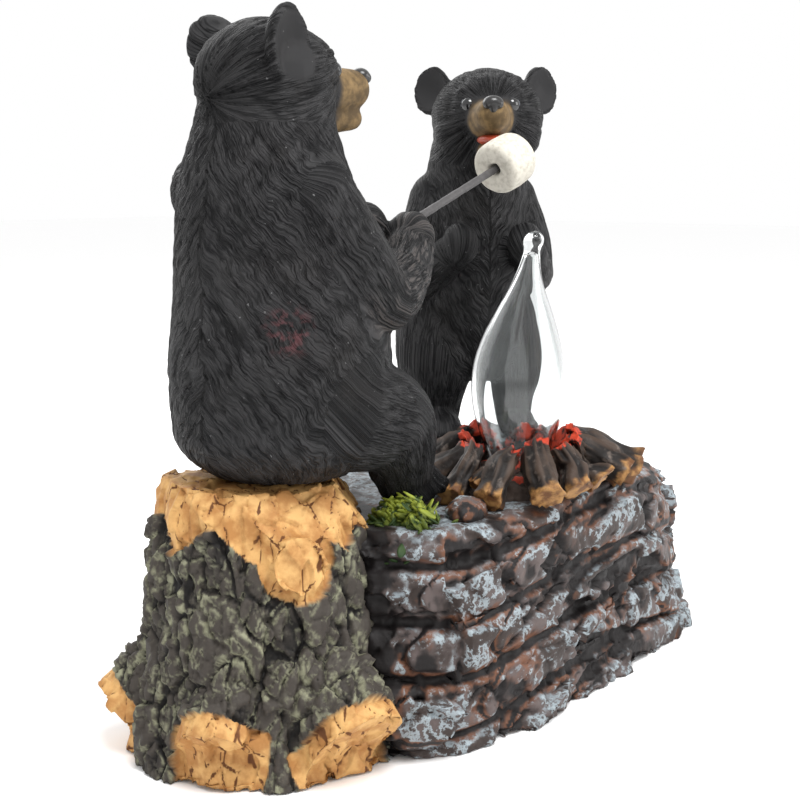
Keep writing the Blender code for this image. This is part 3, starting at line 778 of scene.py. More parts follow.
_, _, to_left_arm = along_bone(points, points_of(LEFT_ARM)[2:] + [(40, 3, 61)])
keep(sitting, "brushed", 1 - ramp(np.minimum(to_arm, to_left_arm), 8, 15))
patch = np.linalg.norm((points - (-17, -20, 39)) / 6, axis=1)
keep(sitting, "worn", 0.5 * (1 - ramp(patch, 0.4, 1.3)))
ready(sitting, fur_black, "stump_cub", SITTING_SIZE, CUB_SEAT)
face_parts("stump_cub", sitting_head, SITTING_SIZE, CUB_SEAT, 0, 0)

# %% [markdown]
# ## The cub on the ledge
#
# It stands on its hind legs with both paws raised to its chest, and looks at the marshmallow with its mouth
# open. It stands farther from the camera, so its strands can be carved a little coarser.

# %% The standing cub
LEDGE_HEIGHT = 59
LEDGE_STEP = 3
STANDING_PLACE = (49, 26, LEDGE_HEIGHT + LEDGE_STEP + GAP)
STANDING_HEADING = 230
STANDING_SIZE = 121 / SCULPT_HEIGHT
MOUTH_OPEN = 3


def raised_arm(side):
    return [((-3, side * 11.5, 74), 8.8), ((0, side * 15.5, 62), 8.4), ((3, side * 17, 52), 7.4),
            ((11, side * 15, 54), 6.3), ((17, side * 12, 58), 5.8)]


def standing_leg(side):
    return [((-3, side * 10, 35), 14.5), ((0, side * 12.5, 25), 12.5), ((-2, side * 12.5, 14), 9.4),
            ((-2, side * 12.5, 6), 7.8)]


clay = []
sweep(clay, [((-3, 0, 30), (15, 16, 13)), ((-1, 0, 42), (18, 17.5, 16)), ((0, 0, 56), (18, 17.5, 17)),
           ((-1.5, 0, 71), (16.5, 17, 16)), ((-1, 1, 86), (15, 15.2, 13)), ((0, 2, 95), (15, 15, 12))])
STANDING_EARS = ((-5, 17, 9), (4.2, 7, 7.6), (-14, -6, 42))
standing_head = head(clay, (2, 3, 99), (0, -4, -12), MOUTH_OPEN, STANDING_EARS)
for side in (-1, 1):
    limb(clay, *raised_arm(side))
    ellipsoid(clay, (21, side * 10, 61.5), (5.6, 5.4, 6.6), (0, -30, 0))
    limb(clay, *standing_leg(side))
    ellipsoid(clay, (4, side * 13, 4.4), (12, 7.2, 5.4))
    toes(clay, (13.5, side * 13.5, 3.4), side * 8, 5, 2.4)
standing = one_skin(gathered("ledge_cub_body", clay), 0.62, 6)

points, _ = read(standing)
carve_fur(standing, [
    back_strands(points, [(0, 0, 30), (0, 0, 56), (-1, 1, 76)], 16, 0.5),
    head_strands(points, (2, 3, 99), standing_head.to_3x3() @ Vector((1, 0, 0)), 19),
    *[limb_strands(points, raised_arm(side), 7.5, (0, 0, 1)) for side in (-1, 1)],
    *[limb_strands(points, standing_leg(side), 12, (1, 0, 0)) for side in (-1, 1)],
], smooth_skin(points, standing_head, STANDING_EARS), 0.5)
points, _ = read(standing)
points[:, 2] = np.maximum(points[:, 2], 0)
move_points(standing, points)
seen = in_head(points, standing_head)
seen[:, 0] += 1.5 * rough(points / 4, 3) - 0.25 * np.abs(seen[:, 1])
seen *= (1, 1.15, 1)
seen += (0, 0, 2.2)
keep(standing, "muzzle", muzzle_share(seen, 16))
keep(standing, "brushed", np.zeros(len(points)))
keep(standing, "worn", np.zeros(len(points)))
ready(standing, fur_black, "ledge_cub", STANDING_SIZE, STANDING_PLACE, STANDING_HEADING)
face_parts("ledge_cub", standing_head, STANDING_SIZE, STANDING_PLACE, STANDING_HEADING, MOUTH_OPEN)

# %% [markdown]
# ## The stump
#
# The trunk is a rod whose points are pushed in and out by how high they are and which way they face. Axe
# cuts slice off its upper edge, and the roots end in pale cut faces. Random cells make the bark's plates:
# each plate stands at its own height, and the borders between them sink into cracks.

# %% The stump
STUMP_FLARE = 9
ROOT_RADIUS = 11
ROOT_REACH = 35
ROOTS = ((259, 1.2), (203, 0.95), (133, 1.05), (75, 0.9))
KNOT_RADIUS = 7.8
KNOT_ANGLE = 242
AXE_CUTS = 7
dice = random.Random(7)
bm = ringed_rod(STUMP_HEIGHT, STUMP_RADIUS, STUMP_RADIUS, 120, 40)
for vert in bm.verts:
    angle = math.atan2(vert.co.y, vert.co.x)
    depth = 1 - vert.co.z / STUMP_HEIGHT
    ridge = math.sin(11 * angle + 2.2 * math.sin(vert.co.z / 9)) * 1.1
    wanted = STUMP_RADIUS + STUMP_FLARE * max(0.0, depth) ** 1.6 + ridge
    vert.co.xy *= wanted / STUMP_RADIUS
axe_cuts = []
for facet in range(AXE_CUTS):
    angle = 360 * facet / AXE_CUTS + dice.uniform(-14, 14)
    normal = heading(angle) + Vector((0, 0, dice.uniform(0.5, 0.9)))
    point = heading(angle) * STUMP_RADIUS * 0.93 + Vector((0, 0, STUMP_HEIGHT - dice.uniform(3, 9)))
    chop = bmesh.ops.bisect_plane(
        bm, geom=bm.verts[:] + bm.edges[:] + bm.faces[:], plane_co=point, plane_no=normal, clear_outer=True)
    rim = [item for item in chop["geom_cut"] if isinstance(item, bmesh.types.BMEdge)]
    bmesh.ops.contextual_create(bm, geom=rim)
    axe_cuts.append((np.array(point), np.array(normal.normalized())))
sawn_ends = []
for angle, size in ROOTS:
    out = heading(angle)
    inner = out * STUMP_RADIUS * 0.5 + Vector((0, 0, 30))
    outer = out * ROOT_REACH * (0.5 + 0.5 * size) + Vector((0, 0, 9))
    rod(bm, inner, outer, ROOT_RADIUS * size, segments=40)
    sawn_ends.append((np.array(outer), np.array((outer - inner).normalized()), ROOT_RADIUS * size))
out = heading(KNOT_ANGLE)
knot_height = Vector((0, 0, STUMP_HEIGHT * 0.76))
knot_end = out * (STUMP_RADIUS + 3.4) + knot_height
rod(bm, out * STUMP_RADIUS * 0.7 + knot_height, knot_end, KNOT_RADIUS, segments=40)
sawn_ends.append((np.array(knot_end), np.array(out), KNOT_RADIUS))
stump = one_skin(new_object("stump_wood", bm), 0.62, 2)

# %% [markdown]
# Where an axe has been, the wood is bare and lies in flat chisel marks with dark splits. Everywhere else
# the bark stands up in plates. One number at each point says which of the two it is.

# %% Bark and chopped wood
points, normals = read(stump)
raw = 1 - ramp(STUMP_HEIGHT - points[:, 2], 0.4, 1.2)
for point, normal in axe_cuts:
    gap = np.abs((points - point) @ normal)
    raw = np.maximum(raw, (1 - ramp(gap, 0.5, 1.3)) * ramp(points[:, 2], 50, 54))
for end, normal, radius in sawn_ends:
    offset = points - end
    ahead = offset @ normal
    aside = np.linalg.norm(offset - ahead[:, None] * normal, axis=1)
    raw = np.maximum(raw, ramp(ahead, -6.5, -5) * (1 - ramp(aside, radius * 1.2, radius * 1.35)))
angle = np.arctan2(points[:, 1], points[:, 0])
tooth = np.abs((angle * AXE_CUTS / math.tau + 0.2) % 1 - 0.5) * 2
bark_top = STUMP_HEIGHT - 17 + 9 * tooth + 2 * rough(points / 8, 23)
raw = np.maximum(raw, ramp(points[:, 2] - bark_top, -0.6, 0.6))
raw = ramp(raw + 0.25 * rough(points / 3.5, 21), 0.35, 0.65)
wrapped = points / (7, 7, 15)
wrapped += 0.25 * np.stack([rough(points / 9, seed) for seed in (1, 2, 3)], axis=1)
border, plate = cracked(wrapped, 11)
fine_border, fine_plate = cracked(points / (3.2, 3.2, 6), 14)
bark = 1.3 * plate + 1.5 * (ramp(border, 0, 0.16) - 1) + 0.4 * fine_plate + 2.4 * facets(wrapped * 1.3, 27)
bark += 0.6 * (ramp(fine_border, 0, 0.16) - 1) + 0.35 * rough(points / 2.2, 31)
chisel_border, chisel = cracked(points / (8, 8, 15), 17)
chisel_marks = 3 * facets(points / (6, 6, 15), 37)
split = np.abs(noise(np.stack([angle * 11, points[:, 2] / 17, 0 * angle], axis=1), 19))
wood = 0.5 * (chisel - 0.5) + 0.4 * (ramp(chisel_border, 0, 0.05) - 1) + chisel_marks
wood += 0.5 * (ramp(split, 0, 0.1) - 1)
stained = ramp(chisel_border + 0.08 * rough(points / 2, 9), 0, 0.07)
stained *= ramp(split + 0.05 * rough(points / 3, 8), 0, 0.07)
coarse_rims = ramp(border, 0.03, 0.07) * (1 - ramp(border, 0.09, 0.2))
fine_rims = ramp(fine_border, 0.03, 0.08) * (1 - ramp(fine_border, 0.09, 0.2))
points += normals * (bark * (1 - raw) + (wood - 1.0) * raw)[:, None]
points[:, 2] = np.clip(points[:, 2], 0.0, STUMP_HEIGHT)
move_points(stump, points)
keep(stump, "raw", raw)
keep(stump, "carved", np.where(raw > 0.5, stained, ramp(bark, -2, 1.8)))
keep(stump, "edge", np.maximum(coarse_rims, 0.7 * fine_rims))

# %% [markdown]
# The bark is nearly black, with a greenish grey dry brush on the rims of its plates. The bare wood is a
# yellow brown, with dark wash left in the splits.

# %% Stump paint
paint = Paint("stump_paint", 0.6, 0.2)
grain = paint.grain(240, 6.0)
carved = paint.stored("carved")
bark_colour = paint.mix(paint.step(carved, 0.1, 0.75), (0.007, 0.006, 0.0055), (0.046, 0.039, 0.033))
bark_colour = paint.mix(paint.step(grain, 0.52, 0.75), bark_colour, (0.08, 0.072, 0.058))
rims = paint.times(paint.stored("edge"), paint.step(carved, 0.2, 0.4))
lichen = paint.times(paint.step(paint.grain(260, 7.0), 0.45, 0.62), rims)
bark_colour = paint.mix(lichen, bark_colour, (0.24, 0.24, 0.16))
wood_tone = paint.step(paint.grain(190, 5.0), 0.35, 0.65)
wood_colour = paint.mix(wood_tone, (0.37, 0.175, 0.055), (0.6, 0.355, 0.135))
wood_colour = paint.mix(paint.step(carved, 0.55, 0.1), wood_colour, (0.12, 0.045, 0.015))
colour = paint.mix(paint.stored("raw"), bark_colour, wood_colour)
ready(stump, paint.finish(colour, paint.grain(600, 5.0), 0.0004, 0.6), "base", 1, STUMP_PLACE)

# %% [markdown]
# ## The rock ledge
#
# The ledge is a rounded oblong with layers of cracked stone. Seams run round it at almost even heights, and
# each layer is broken into blocks that stand in or out a little. A low round step carries the far cub.

# %% The rock ledge
LEDGE_LENGTH = 176
LEDGE_WIDTH = 93
LEDGE_X = 13
LEDGE_Y = -1.5
LEDGE_TAPER = 0.14
LEDGE_SQUARENESS = 3.4
LEDGE_DROP = 9
LAYERS = 4
STONE_STEP = 1.8
CRACK_DEPTH = 4
CRACK_WIDTH = 4
STANCE_RADIUS = 27
STANCE_AHEAD = 4
FIRE = Vector((-3, -26, 0))


def ledge_edge(angle, inset):
    power = 2 / LEDGE_SQUARENESS
    cosine, sine = math.cos(angle), math.sin(angle)
    x = math.copysign(abs(cosine) ** power, cosine)
    y = math.copysign(abs(sine) ** power, sine) * (1 - LEDGE_TAPER * x)
    return Vector((LEDGE_X + x * (LEDGE_LENGTH / 2 - inset), LEDGE_Y + y * (LEDGE_WIDTH / 2 - inset)))


class RockFace:
    """The side of the ledge: layers of blocks, each with joints and a depth of its own."""

    def __init__(self, dice):
        self.layers = []
        for _ in range(LAYERS + 2):
            count = dice.randint(9, 12)
            joints = [(place + dice.uniform(-0.3, 0.3)) / count for place in range(count)]
            self.layers.append([(joint, dice.uniform(-STONE_STEP, STONE_STEP)) for joint in joints])

    def place(self, share, height):
        """How far a place stands out with its block, and its nearness to a crack: 1 in it, 0 well away."""
        tall = LEDGE_HEIGHT / LAYERS
        wave = 2.6 * math.sin(math.tau * 2 * share + 1) + 1.3 * math.sin(math.tau * 5 * share)
        level = (height + wave) / tall + 0.5
        layer = min(max(int(level), 0), LAYERS + 1)
        to_seam = min(level - layer, layer + 1 - level) * tall
        share += 0.012 * math.sin(level * 5 + layer)
        blocks = self.layers[layer]
        to_joint = min(abs((share - joint + 0.5) % 1 - 0.5) for joint, _ in blocks)
        to_joint *= 2 * (LEDGE_LENGTH + LEDGE_WIDTH)
        stand = [stand for joint, stand in blocks if joint <= share][-1:] or [blocks[-1][1]]
        return stand[0], 1 - min(1.0, max(0.0, min(to_seam, to_joint)) / CRACK_WIDTH)

    def relief(self, share, height):
        stand, rim = self.place(share, height)
        return stand - CRACK_DEPTH * rim ** 2


def ledge_share(x, y):
    """How far round the ledge a point lies: the way back from ledge_edge."""
    across = (x - LEDGE_X) / (LEDGE_LENGTH / 2)
    deep = (y - LEDGE_Y) / (LEDGE_WIDTH / 2) / (1 - LEDGE_TAPER * across)
    power = LEDGE_SQUARENESS / 2
    angle = math.atan2(math.copysign(abs(deep) ** power, deep),
                       math.copysign(abs(across) ** power, across))
    return angle / math.tau % 1


face = RockFace(dice)
bm = ringed_rod(LEDGE_HEIGHT, 1, 1, 300, 60)
for vert in bm.verts:
    angle = math.atan2(vert.co.y, vert.co.x)
    below = LEDGE_HEIGHT - vert.co.z
    round_over = 5 * max(0.0, 1 - below / 6) ** 2
    inset = STONE_STEP + round_over - face.relief((angle / math.tau) % 1, vert.co.z) * min(1.0, below / 4)
    inset += (vert.co.z / LEDGE_HEIGHT - 0.35) * 8 * max(0.0, math.cos(angle + 0.35)) ** 2
    vert.co.xy = ledge_edge(angle, inset)
    corner = max(0.0, min(1.0, (vert.co.x - 35) / 50)) * max(0.0, min(1.0, (5 - vert.co.y) / 35))
    vert.co.z -= LEDGE_DROP * corner * max(0.0, vert.co.z) / LEDGE_HEIGHT
stance = Vector((*STANDING_PLACE[:2], LEDGE_HEIGHT)) + heading(STANDING_HEADING) * STANCE_AHEAD
stance_top = stance + Vector((0, 0, LEDGE_STEP + 1))
rod(bm, stance - Vector((0, 0, 8)), stance_top, STANCE_RADIUS, STANCE_RADIUS - 2, 60)
rocks = one_skin(new_object("rock_ledge", bm), 0.9, 1)

# %% [markdown]
# Broken stone is made of flat tilted planes, with chips off their edges. The top stays nearly flat, because
# the logs and the cub rest on it.

# %% Broken stone
points, normals = read(rocks)
side = 1 - ramp(normals[:, 2], 0.5, 0.95)
layered = points / (40, 40, 22)
layered += 0.3 * np.stack([rough(points / 16, seed) for seed in (4, 5, 6)], axis=1)
border, block = cracked(layered, 41)
chips = 1 - 2 * np.abs(rough(points / 9, 51))
grit = rough(points / 2.4, 61)
planes = 6.5 * facets(points / (30, 30, 16), 44) + 2 * facets(points / 11, 48)
shaped = 1.4 * (block - 0.5) + 1.5 * (ramp(border, 0, 0.06) - 1) + planes
shaped = shaped * (0.15 + 0.85 * side) + 0.6 * (chips - 0.5) * (0.4 + 0.6 * side) + 0.16 * grit
points += normals * shaped[:, None]
points[:, 2] = np.maximum(points[:, 2], 0.0)
from_stance = np.linalg.norm(points[:, :2] - np.array(stance.xy), axis=1)
top = np.where(from_stance < STANCE_RADIUS + 2, LEDGE_HEIGHT + LEDGE_STEP, LEDGE_HEIGHT + 1.5)
points[:, 2] = np.minimum(points[:, 2], top)
move_points(rocks, points)

# %% [markdown]
# The paint needs to know four things: how high a point is carved, whether it faces up, how near it is to a
# crack, and how near to the stump or the fire, where the stone is dark. Beside the stump that dark is painted
# shade, where the stump meets the stone. Rust-brown wash runs along the cracks, and a pale bluish dry brush
# catches the upper edges.

# %% Rock paint
crack = np.array([face.place(ledge_share(x, y), z)[1] for x, y, z in points])
crack *= 1 - ramp(points[:, 2], LEDGE_HEIGHT - 5, LEDGE_HEIGHT - 2)
crack_paint = ramp(crack + 0.2 * grit, 0.45, 0.95)
depth = 1 - np.clip(points[:, 2] / STUMP_HEIGHT, 0, 1)
to_stump = np.linalg.norm(points[:, :2] - np.array(STUMP_PLACE.xy), axis=1)
to_stump -= STUMP_RADIUS + STUMP_FLARE * depth
# Painted shade beside the stump, where it meets the stone; the cracks are dark too.
clear_of_stump_shade_and_cracks = ramp(to_stump + 1.5 * grit, 3, 8) * (1 - crack_paint)
keep(rocks, "carved", ramp(0.45 * shaped + 0.7 * (chips - 0.4) + 0.6 * grit, -1.2, 1.6) * clear_of_stump_shade_and_cracks)
_, faces_up = read(rocks)
to_fire = np.linalg.norm(points[:, :2] - np.array(FIRE.xy), axis=1)
upper = ramp(faces_up[:, 2] + 0.15 * grit, 0.05, 0.65)
upper *= 1 - (1 - ramp(to_fire, 24, 38)) * ramp(points[:, 2], 54, 58)
# The painted shade beside the stump also keeps the pale brush off the stone there.
upper *= ramp(to_stump, 3, 8)
keep(rocks, "upper", upper)
near_crack = ramp(crack, 0.15, 0.5)
keep(rocks, "rust", ramp(rough(points / 11, 71) + 0.5 * rough(points / 3, 72) + 0.6 * near_crack, 0.15, 0.6))

paint = Paint("rock_paint", 0.55, 0.25)
carved = paint.stored("carved")
rock_tone = paint.step(paint.grain(120, 6.0), 0.35, 0.65)
rock_colour = paint.mix(rock_tone, (0.03, 0.021, 0.018), (0.1, 0.078, 0.074))
rust_share = paint.times(paint.stored("rust"), paint.step(carved, 0.8, 0.3))
rock_colour = paint.mix(paint.times(rust_share, 0.75), rock_colour, (0.16, 0.06, 0.026))
# Low carved values paint the stone near black: dark wash in cracks and recesses, painted shade by the stump.
rock_colour = paint.mix(paint.step(carved, 0.32, 0.08), rock_colour, (0.01, 0.008, 0.008))
scratches = paint.times(paint.grain(260, 9.0, roughness=0.75), 0.9)
streaks = paint.step(paint.grain(380, 8.0, roughness=0.7), 0.44, 0.56)
high = paint.sum(paint.times(paint.stored("upper"), 0.55), paint.times(carved, 0.45))
high = paint.sum(high, paint.times(scratches, 0.5))
brushed = paint.times(paint.step(high, 0.8, 1.05), streaks)
rock_colour = paint.mix(paint.times(brushed, 0.7), rock_colour, (0.25, 0.3, 0.33))
web = paint.less(1.0, paint.grooves(paint.grain(120, 8.0, roughness=0.65)))
web = paint.times(paint.step(web, 0.8, 1.0), paint.step(carved, 0.3, 0.55))
rock_colour = paint.mix(paint.times(web, 0.7), rock_colour, (0.34, 0.4, 0.43))
rock_paint = paint.finish(rock_colour, paint.grain(420, 8.0), 0.0004, 0.8)
ready(rocks, rock_paint, "base")

# %% [markdown]
# ## The campfire
#
# Short charred logs lean in on a mound of embers. Each is a rod with many rings, so that its bark can be
# roughened and its end stays a flat cut. Their inner ends glow, which on the figurine is red paint.

# %% The logs
FLAME_RADIUS = 13.5
LOG_RADIUS = 4.6
LOG_RISE = 13
EMBER_HEIGHT = 6
TWIGS = 16
LOGS = ((-160, 27, 0.9), (-128, 25, 1), (-98, 20, 1), (-74, 20, 1.05), (-48, 27, 1), (-27, 40, 1.15),
        (8, 30, 0.9), (40, 24, 1), (75, 23, 0.95), (112, 24, 1), (150, 26, 1), (178, 27, 0.85))


def log(foot, tip, radius, number, taper=0.6):
    """Adds a log to the clay, and its points' share of the length, cut end and relief to the facts."""
    run = tip - foot
    bm = ringed_rod(1, radius, radius * taper, 26, 26)
    for cap in [face for face in bm.faces if len(face.verts) > 4]:
        bmesh.ops.inset_region(bm, faces=[cap], thickness=radius * 0.16)
    flat = np.array([vert.co for vert in bm.verts])
    from_axis = np.linalg.norm(flat[:, :2], axis=1)
    outward = flat[:, :2] / np.maximum(0.01, from_axis)[:, None]
    number_row = np.full(len(flat), float(number))
    where = np.stack([outward[:, 0] * 2.2, outward[:, 1] * 2.2, flat[:, 2] * 2.2 + 9 * number_row], axis=1)
    grooves = np.abs(noise(where * (1.6, 1.6, 0.8), 81)) * 1.5 + 0.5 * rough(where * 2, 82)
    axis_line = np.stack([flat[:, 2] * 1.7, number_row, number_row * 0], axis=1)
    bend = np.stack([noise(axis_line, seed) for seed in (83, 84)], axis=1)
    share = flat[:, 2].copy()
    cut = 1 - ramp(share + 0.12 * noise(where * 2, 86), 0.06, 0.12)
    flat[:, :2] += outward * (1.5 * (grooves - 0.5) * (from_axis > radius * 0.5))[:, None] + bend * 1.7
    flat[:, 2] = flat[:, 2] * run.length + 0.6 * noise(where * 1.3, 85)
    for vert, co in zip(bm.verts, flat):
        vert.co = co
    mesh = bpy.data.meshes.new("log")
    bm.to_mesh(mesh)
    bm.free()
    mesh.transform(Matrix.Translation(foot) @ run.to_track_quat("Z", "Y").to_matrix().to_4x4())
    clay.append((mesh, Matrix()))
    facts.append(np.stack([share, cut, grooves], axis=1))


dice = random.Random(11)
clay = []
facts = []
for number, (angle, reach, thickness) in enumerate(LOGS):
    foot = FIRE + heading(angle) * min(reach + 4, 40) + Vector((0, 0, LEDGE_HEIGHT + LOG_RADIUS * 0.8))
    tip = FIRE + Vector((0, 0, LEDGE_HEIGHT + LOG_RISE + dice.uniform(-3, 5)))
    tip += heading(angle + dice.uniform(-16, 16)) * (FLAME_RADIUS + 1)
    big = thickness > 1.1
    tip.z += 3 * big
    log(foot, tip, LOG_RADIUS * thickness, number, 1.1 if big else 0.6)
for number in range(TWIGS):
    angle = dice.uniform(0, 360)
    foot = FIRE + heading(angle) * dice.uniform(20, 29) + Vector((0, 0, LEDGE_HEIGHT + dice.uniform(3, 8)))
    tip = FIRE + heading(angle + dice.uniform(-50, 50)) * (FLAME_RADIUS + 2)
    tip.z = LEDGE_HEIGHT + LOG_RISE + dice.uniform(-4, 5)
    log(foot, tip, dice.uniform(1.8, 3.1), number + 20)
logs = gathered("campfire_logs", clay)
facts = np.concatenate(facts)
keep(logs, "along", facts[:, 0])
keep(logs, "cut", facts[:, 1])
keep(logs, "carved", ramp(facts[:, 2], 0, 1.2))

# %% [markdown]
# The logs are charred, with a brown cut at the foot and red paint at the inner end. The same red is on some
# of the lumps of the ember mound below them.

# %% Log paint and embers
paint = Paint("log_paint", 0.55, 0.25)
carved = paint.stored("carved")
grain = paint.grain(300, 6.0)
log_colour = paint.mix(paint.step(carved, 0.15, 0.9), (0.007, 0.0045, 0.0035), (0.055, 0.036, 0.026))
log_colour = paint.mix(paint.step(grain, 0.55, 0.75), log_colour, (0.12, 0.095, 0.08))
cut_wood = paint.mix(paint.step(grain, 0.4, 0.62), (0.12, 0.05, 0.018), (0.36, 0.19, 0.065))
log_colour = paint.mix(paint.stored("cut"), log_colour, cut_wood)
glow = paint.step(paint.sum(paint.stored("along"), paint.times(grain, 0.6)), 1.22, 1.3)
log_colour = paint.mix(glow, log_colour, (0.5, 0.05, 0.02))
ready(logs, paint.finish(log_colour, grain, 0.0005, 0.7), "base")

clay = []
ellipsoid(clay, (FIRE.x + 4, FIRE.y + 3, LEDGE_HEIGHT - 1), (24, 18, EMBER_HEIGHT + 2), segments=40)
embers = one_skin(gathered("embers", clay), 0.7, 1)
points, normals = read(embers)
border, lump = cracked(points / 3.4, 91)
points += normals * (1.2 * lump + 0.8 * (ramp(border, 0, 0.2) - 1))[:, None]
move_points(embers, points)
keep(embers, "carved", lump)
paint = Paint("ember_paint", 0.7, 0.3)
ember_colour = paint.mix(paint.grain(300, 5.0), (0.012, 0.009, 0.008), (0.09, 0.06, 0.045))
ember_colour = paint.mix(paint.step(paint.stored("carved"), 0.88, 0.92), ember_colour, (0.4, 0.045, 0.02))
ready(embers, paint.finish(ember_colour, paint.grain(500, 5.0), 0.0004, 0.6), "base")

# %% [markdown]
# ## Moss and pebble
#
# The tuft in the corner is a heap of small flat leaves. Each leaf is a ball pressed flat, which keeps it
# closed, and they are strewn over a low mound at random angles. The pebble takes the ledge's paint.

# %% Moss and pebble
MOSS = Vector((-52, -22, 58))
UPPER_LEAVES = 320
HANGING_LEAVES = 150
TUFTS = 14
PEBBLE = (-38, -33, LEDGE_HEIGHT + 1)


def leaf(centre, largest, least_pitch, most_pitch):
    size = dice.uniform(1.3, largest)
    turn = (dice.uniform(-50, 50), dice.uniform(least_pitch, most_pitch), dice.uniform(0, 360))
    ellipsoid(clay, centre, (size * 1.3, size * 0.62, size * 0.2), turn, 10)


clay = []
for _ in range(UPPER_LEAVES):
    out = Vector((dice.gauss(0, 5), dice.gauss(0, 4.4), 0))
    drop = out.length ** 2 * 0.075
    leaf(MOSS + out + Vector((0, 0, 5 - drop + dice.uniform(-1.5, 1.5))), 2.6, -60, 60)
for _ in range(HANGING_LEAVES):
    hanging = Vector((-3 + dice.gauss(0, 3), -8 + dice.gauss(0, 2.5), -1 + max(-5.0, dice.gauss(0, 3.5))))
    leaf(MOSS + hanging, 2.4, 20, 80)
for _ in range(TUFTS):
    centre = MOSS + Vector((dice.uniform(-6, 6), dice.uniform(-6, 5), dice.uniform(-3, 1)))
    ellipsoid(clay, centre, (3.2, 3.2, 2.8), segments=14)
moss = gathered("moss", clay)
points, _ = read(moss)
keep(moss, "tip", ramp(points[:, 2] + 2.5 * noise(points / 1.5, 99), 57, 65))
paint = Paint("moss_paint", 0.6, 0.35)
moss_colour = paint.mix(paint.stored("tip"), (0.012, 0.035, 0.005), (0.24, 0.28, 0.03))
moss_colour = paint.mix(paint.step(paint.grain(330, 3.0), 0.55, 0.4), moss_colour, (0.02, 0.045, 0.008))
ready(moss, paint.finish(moss_colour, paint.grain(900, 3.0), 0.0002, 0.5), "base")

clay = []
ellipsoid(clay, PEBBLE, (8, 5.5, 4.2), (0, 0, 20), 40)
pebble = one_skin(gathered("pebble", clay), 0.5, 1)
points, normals = read(pebble)
points += normals * (0.9 * rough(points / 4, 95) + 0.4 * rough(points / 1.6, 96))[:, None]
move_points(pebble, points)
keep(pebble, "carved", ramp(rough(points / 3, 98), -0.5, 0.7))
keep(pebble, "rust", np.full(len(points), 0.8))
ready(pebble, rock_paint, "base")

# %% [markdown]
# ## Stick and marshmallow
#
# The stick is a thin painted rod. The marshmallow is a short soft cylinder: its rims are rounded, its side
# bulges a little, and its surface is powdery and slightly lumpy.

# %% Stick and marshmallow
STICK_RADIUS = 1.2
STICK_LENGTH = 61
STICK_START = Vector((-38, -3.8, 131))
STICK_HEADING = -3.8
STICK_RISE = math.radians(21.4)


def stick_point(distance):
    ahead = heading(STICK_HEADING) * math.cos(STICK_RISE) + Vector((0, 0, math.sin(STICK_RISE)))
    return STICK_START + ahead * distance


bm = ringed_rod(STICK_LENGTH, STICK_RADIUS, STICK_RADIUS * 0.9, 20, 50)
for vert in bm.verts:
    vert.co.xy *= 1 + 0.05 * math.sin(vert.co.z * 0.9) * math.sin(vert.co.z * 0.31)
along_stick = (stick_point(1) - stick_point(0)).to_track_quat("Z", "Y").to_matrix().to_4x4()
bmesh.ops.transform(bm, matrix=Matrix.Translation(stick_point(0)) @ along_stick, verts=bm.verts)
stick = new_object("stick", bm)
paint = Paint("stick_dark", 0.5, 0.4)
streak = paint.grain(700, 4.0)
stick_colour = paint.mix(streak, (0.025, 0.023, 0.024), (0.09, 0.085, 0.085))
ready(stick, paint.finish(stick_colour, streak, 0.0002, 0.5), "roasting_stick")

MARSHMALLOW_RADIUS = 7.8
MARSHMALLOW_LENGTH = 12
MARSHMALLOW_WALL = 3.5
RIM = 2
top = MARSHMALLOW_LENGTH / 2
hole = STICK_RADIUS + 0.45
profile = [(0, top - MARSHMALLOW_WALL), (hole, top - MARSHMALLOW_WALL), (hole, -top + 1.2),
           (hole + 0.7, -top + 0.25), (MARSHMALLOW_RADIUS - RIM, -top)]
for angle in range(15, 91, 15):
    round_rim = heading(angle) * RIM
    profile.append((MARSHMALLOW_RADIUS - RIM + round_rim.y, -top + RIM - round_rim.x))
profile.append((MARSHMALLOW_RADIUS + 0.25, 0))
for angle in range(0, 91, 15):
    round_rim = heading(angle) * RIM
    profile.append((MARSHMALLOW_RADIUS - RIM + round_rim.x, top - RIM + round_rim.y))
profile.append((0, top))
bm = spun(profile, 72)
long_edges = [edge for edge in bm.edges if edge.calc_length() > 2]
bmesh.ops.subdivide_edges(bm, edges=long_edges, cuts=3, use_grid_fill=True)
middle = stick_point(STICK_LENGTH + GAP + MARSHMALLOW_WALL - top)
bmesh.ops.transform(bm, matrix=Matrix.Translation(middle) @ along_stick, verts=bm.verts)
marshmallow = new_object("marshmallow_lump", bm)
points, normals = read(marshmallow)
points += normals * (0.14 * rough(points / 5, 97))[:, None]
move_points(marshmallow, points)
paint = Paint("marshmallow_white", 0.8, 0.25)
powder = paint.grain(700, 6.0)
white = paint.mix(paint.step(powder, 0.3, 0.6), (0.44, 0.41, 0.35), (0.58, 0.55, 0.48))
ready(marshmallow, paint.finish(white, powder, 0.0003, 0.5), "marshmallow")

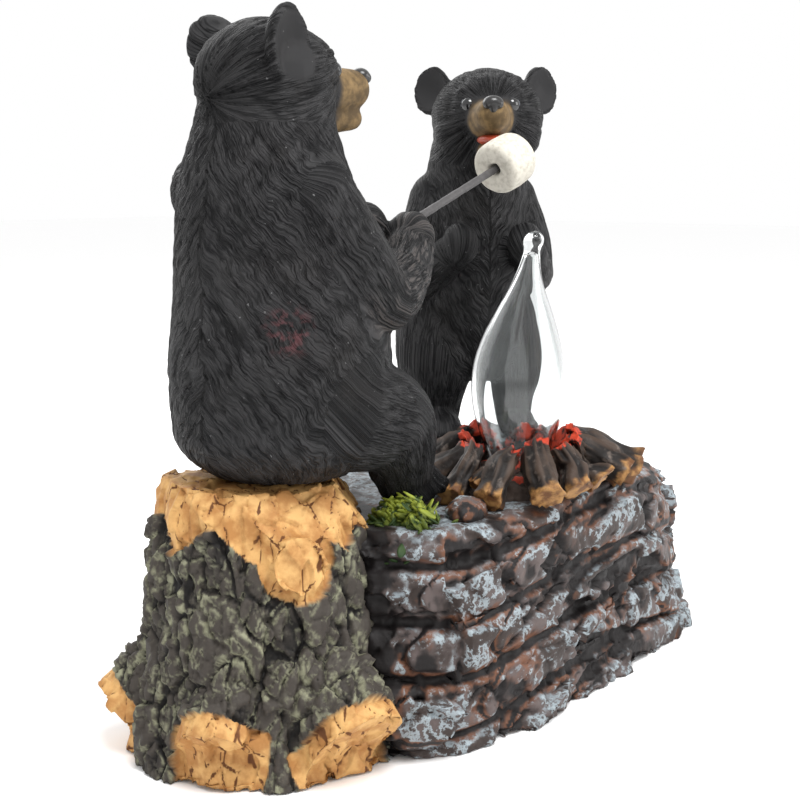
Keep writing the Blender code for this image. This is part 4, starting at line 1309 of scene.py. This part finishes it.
# %% [markdown]
# ## The glass flame
#
# It is one blown drop: a thin even wall, a bend near the top and a solid bead that closes it. Only the
# profile is drawn, and a spin makes the rest. Clear glass needs no texture: it shows what is behind it and
# the lamps around it, so a plain clear shader with the right wall is enough.

# %% The glass flame
FLAME_HEIGHT = 76
FLAME_FOOT_RADIUS = 7.6
FLAME_WALL = 1.1
BEAD_RADIUS = 2.9
FLAME_LEAN = 4.2
FLAME_HEADING = -52
SOCKET_DEPTH = 8
foot = [(0, 1), (0.11, 1)]
belly = [(0.25, 0.83), (0.34, 0.96), (0.43, 1), (0.52, 0.95), (0.61, 0.81), (0.7, 0.61), (0.78, 0.4),
         (0.85, 0.26)]
outside = [(radius * FLAME_FOOT_RADIUS, share * FLAME_HEIGHT, 0) for share, radius in foot]
outside += [(radius * FLAME_RADIUS, share * FLAME_HEIGHT, 0) for share, radius in belly]
outside.append((BEAD_RADIUS * 0.8, 0.925 * FLAME_HEIGHT, 0))
outside = smooth_line(outside, 6)
inside = [point - Vector((FLAME_WALL, 0, 0)) for point in outside if point.x > FLAME_WALL * 2.2]
bead = [heading(angle) * BEAD_RADIUS for angle in range(60, 180, 12)]
arc = [(p.y, FLAME_HEIGHT - BEAD_RADIUS - p.x) for p in bead]
profile = [(0, inside[-1].y + FLAME_WALL), *[(p.x, p.y) for p in reversed(inside)],
           *[(p.x, p.y) for p in outside], *arc, (0, FLAME_HEIGHT)]
bm = spun(profile, 96)
for vert in bm.verts:
    share = max(0.0, vert.co.z / FLAME_HEIGHT - 0.5) / 0.5
    vert.co += heading(FLAME_HEADING) * FLAME_LEAN * min(1.0, share ** 1.4)
flame = new_object("glass_drop", bm)
glass = bpy.data.materials.new("clear_glass")
glass.use_nodes = True
shader = glass.node_tree.nodes["Principled BSDF"]
shader.inputs["Base Color"].default_value = (0.9, 0.92, 0.92, 1)
shader.inputs["Roughness"].default_value = 0.0
shader.inputs["IOR"].default_value = 1.45
shader.inputs["Transmission Weight"].default_value = 1.0
flame_foot = LEDGE_HEIGHT + EMBER_HEIGHT - SOCKET_DEPTH + GAP
ready(flame, glass, "glass_flame", 1, FIRE + Vector((0, 0, flame_foot)))
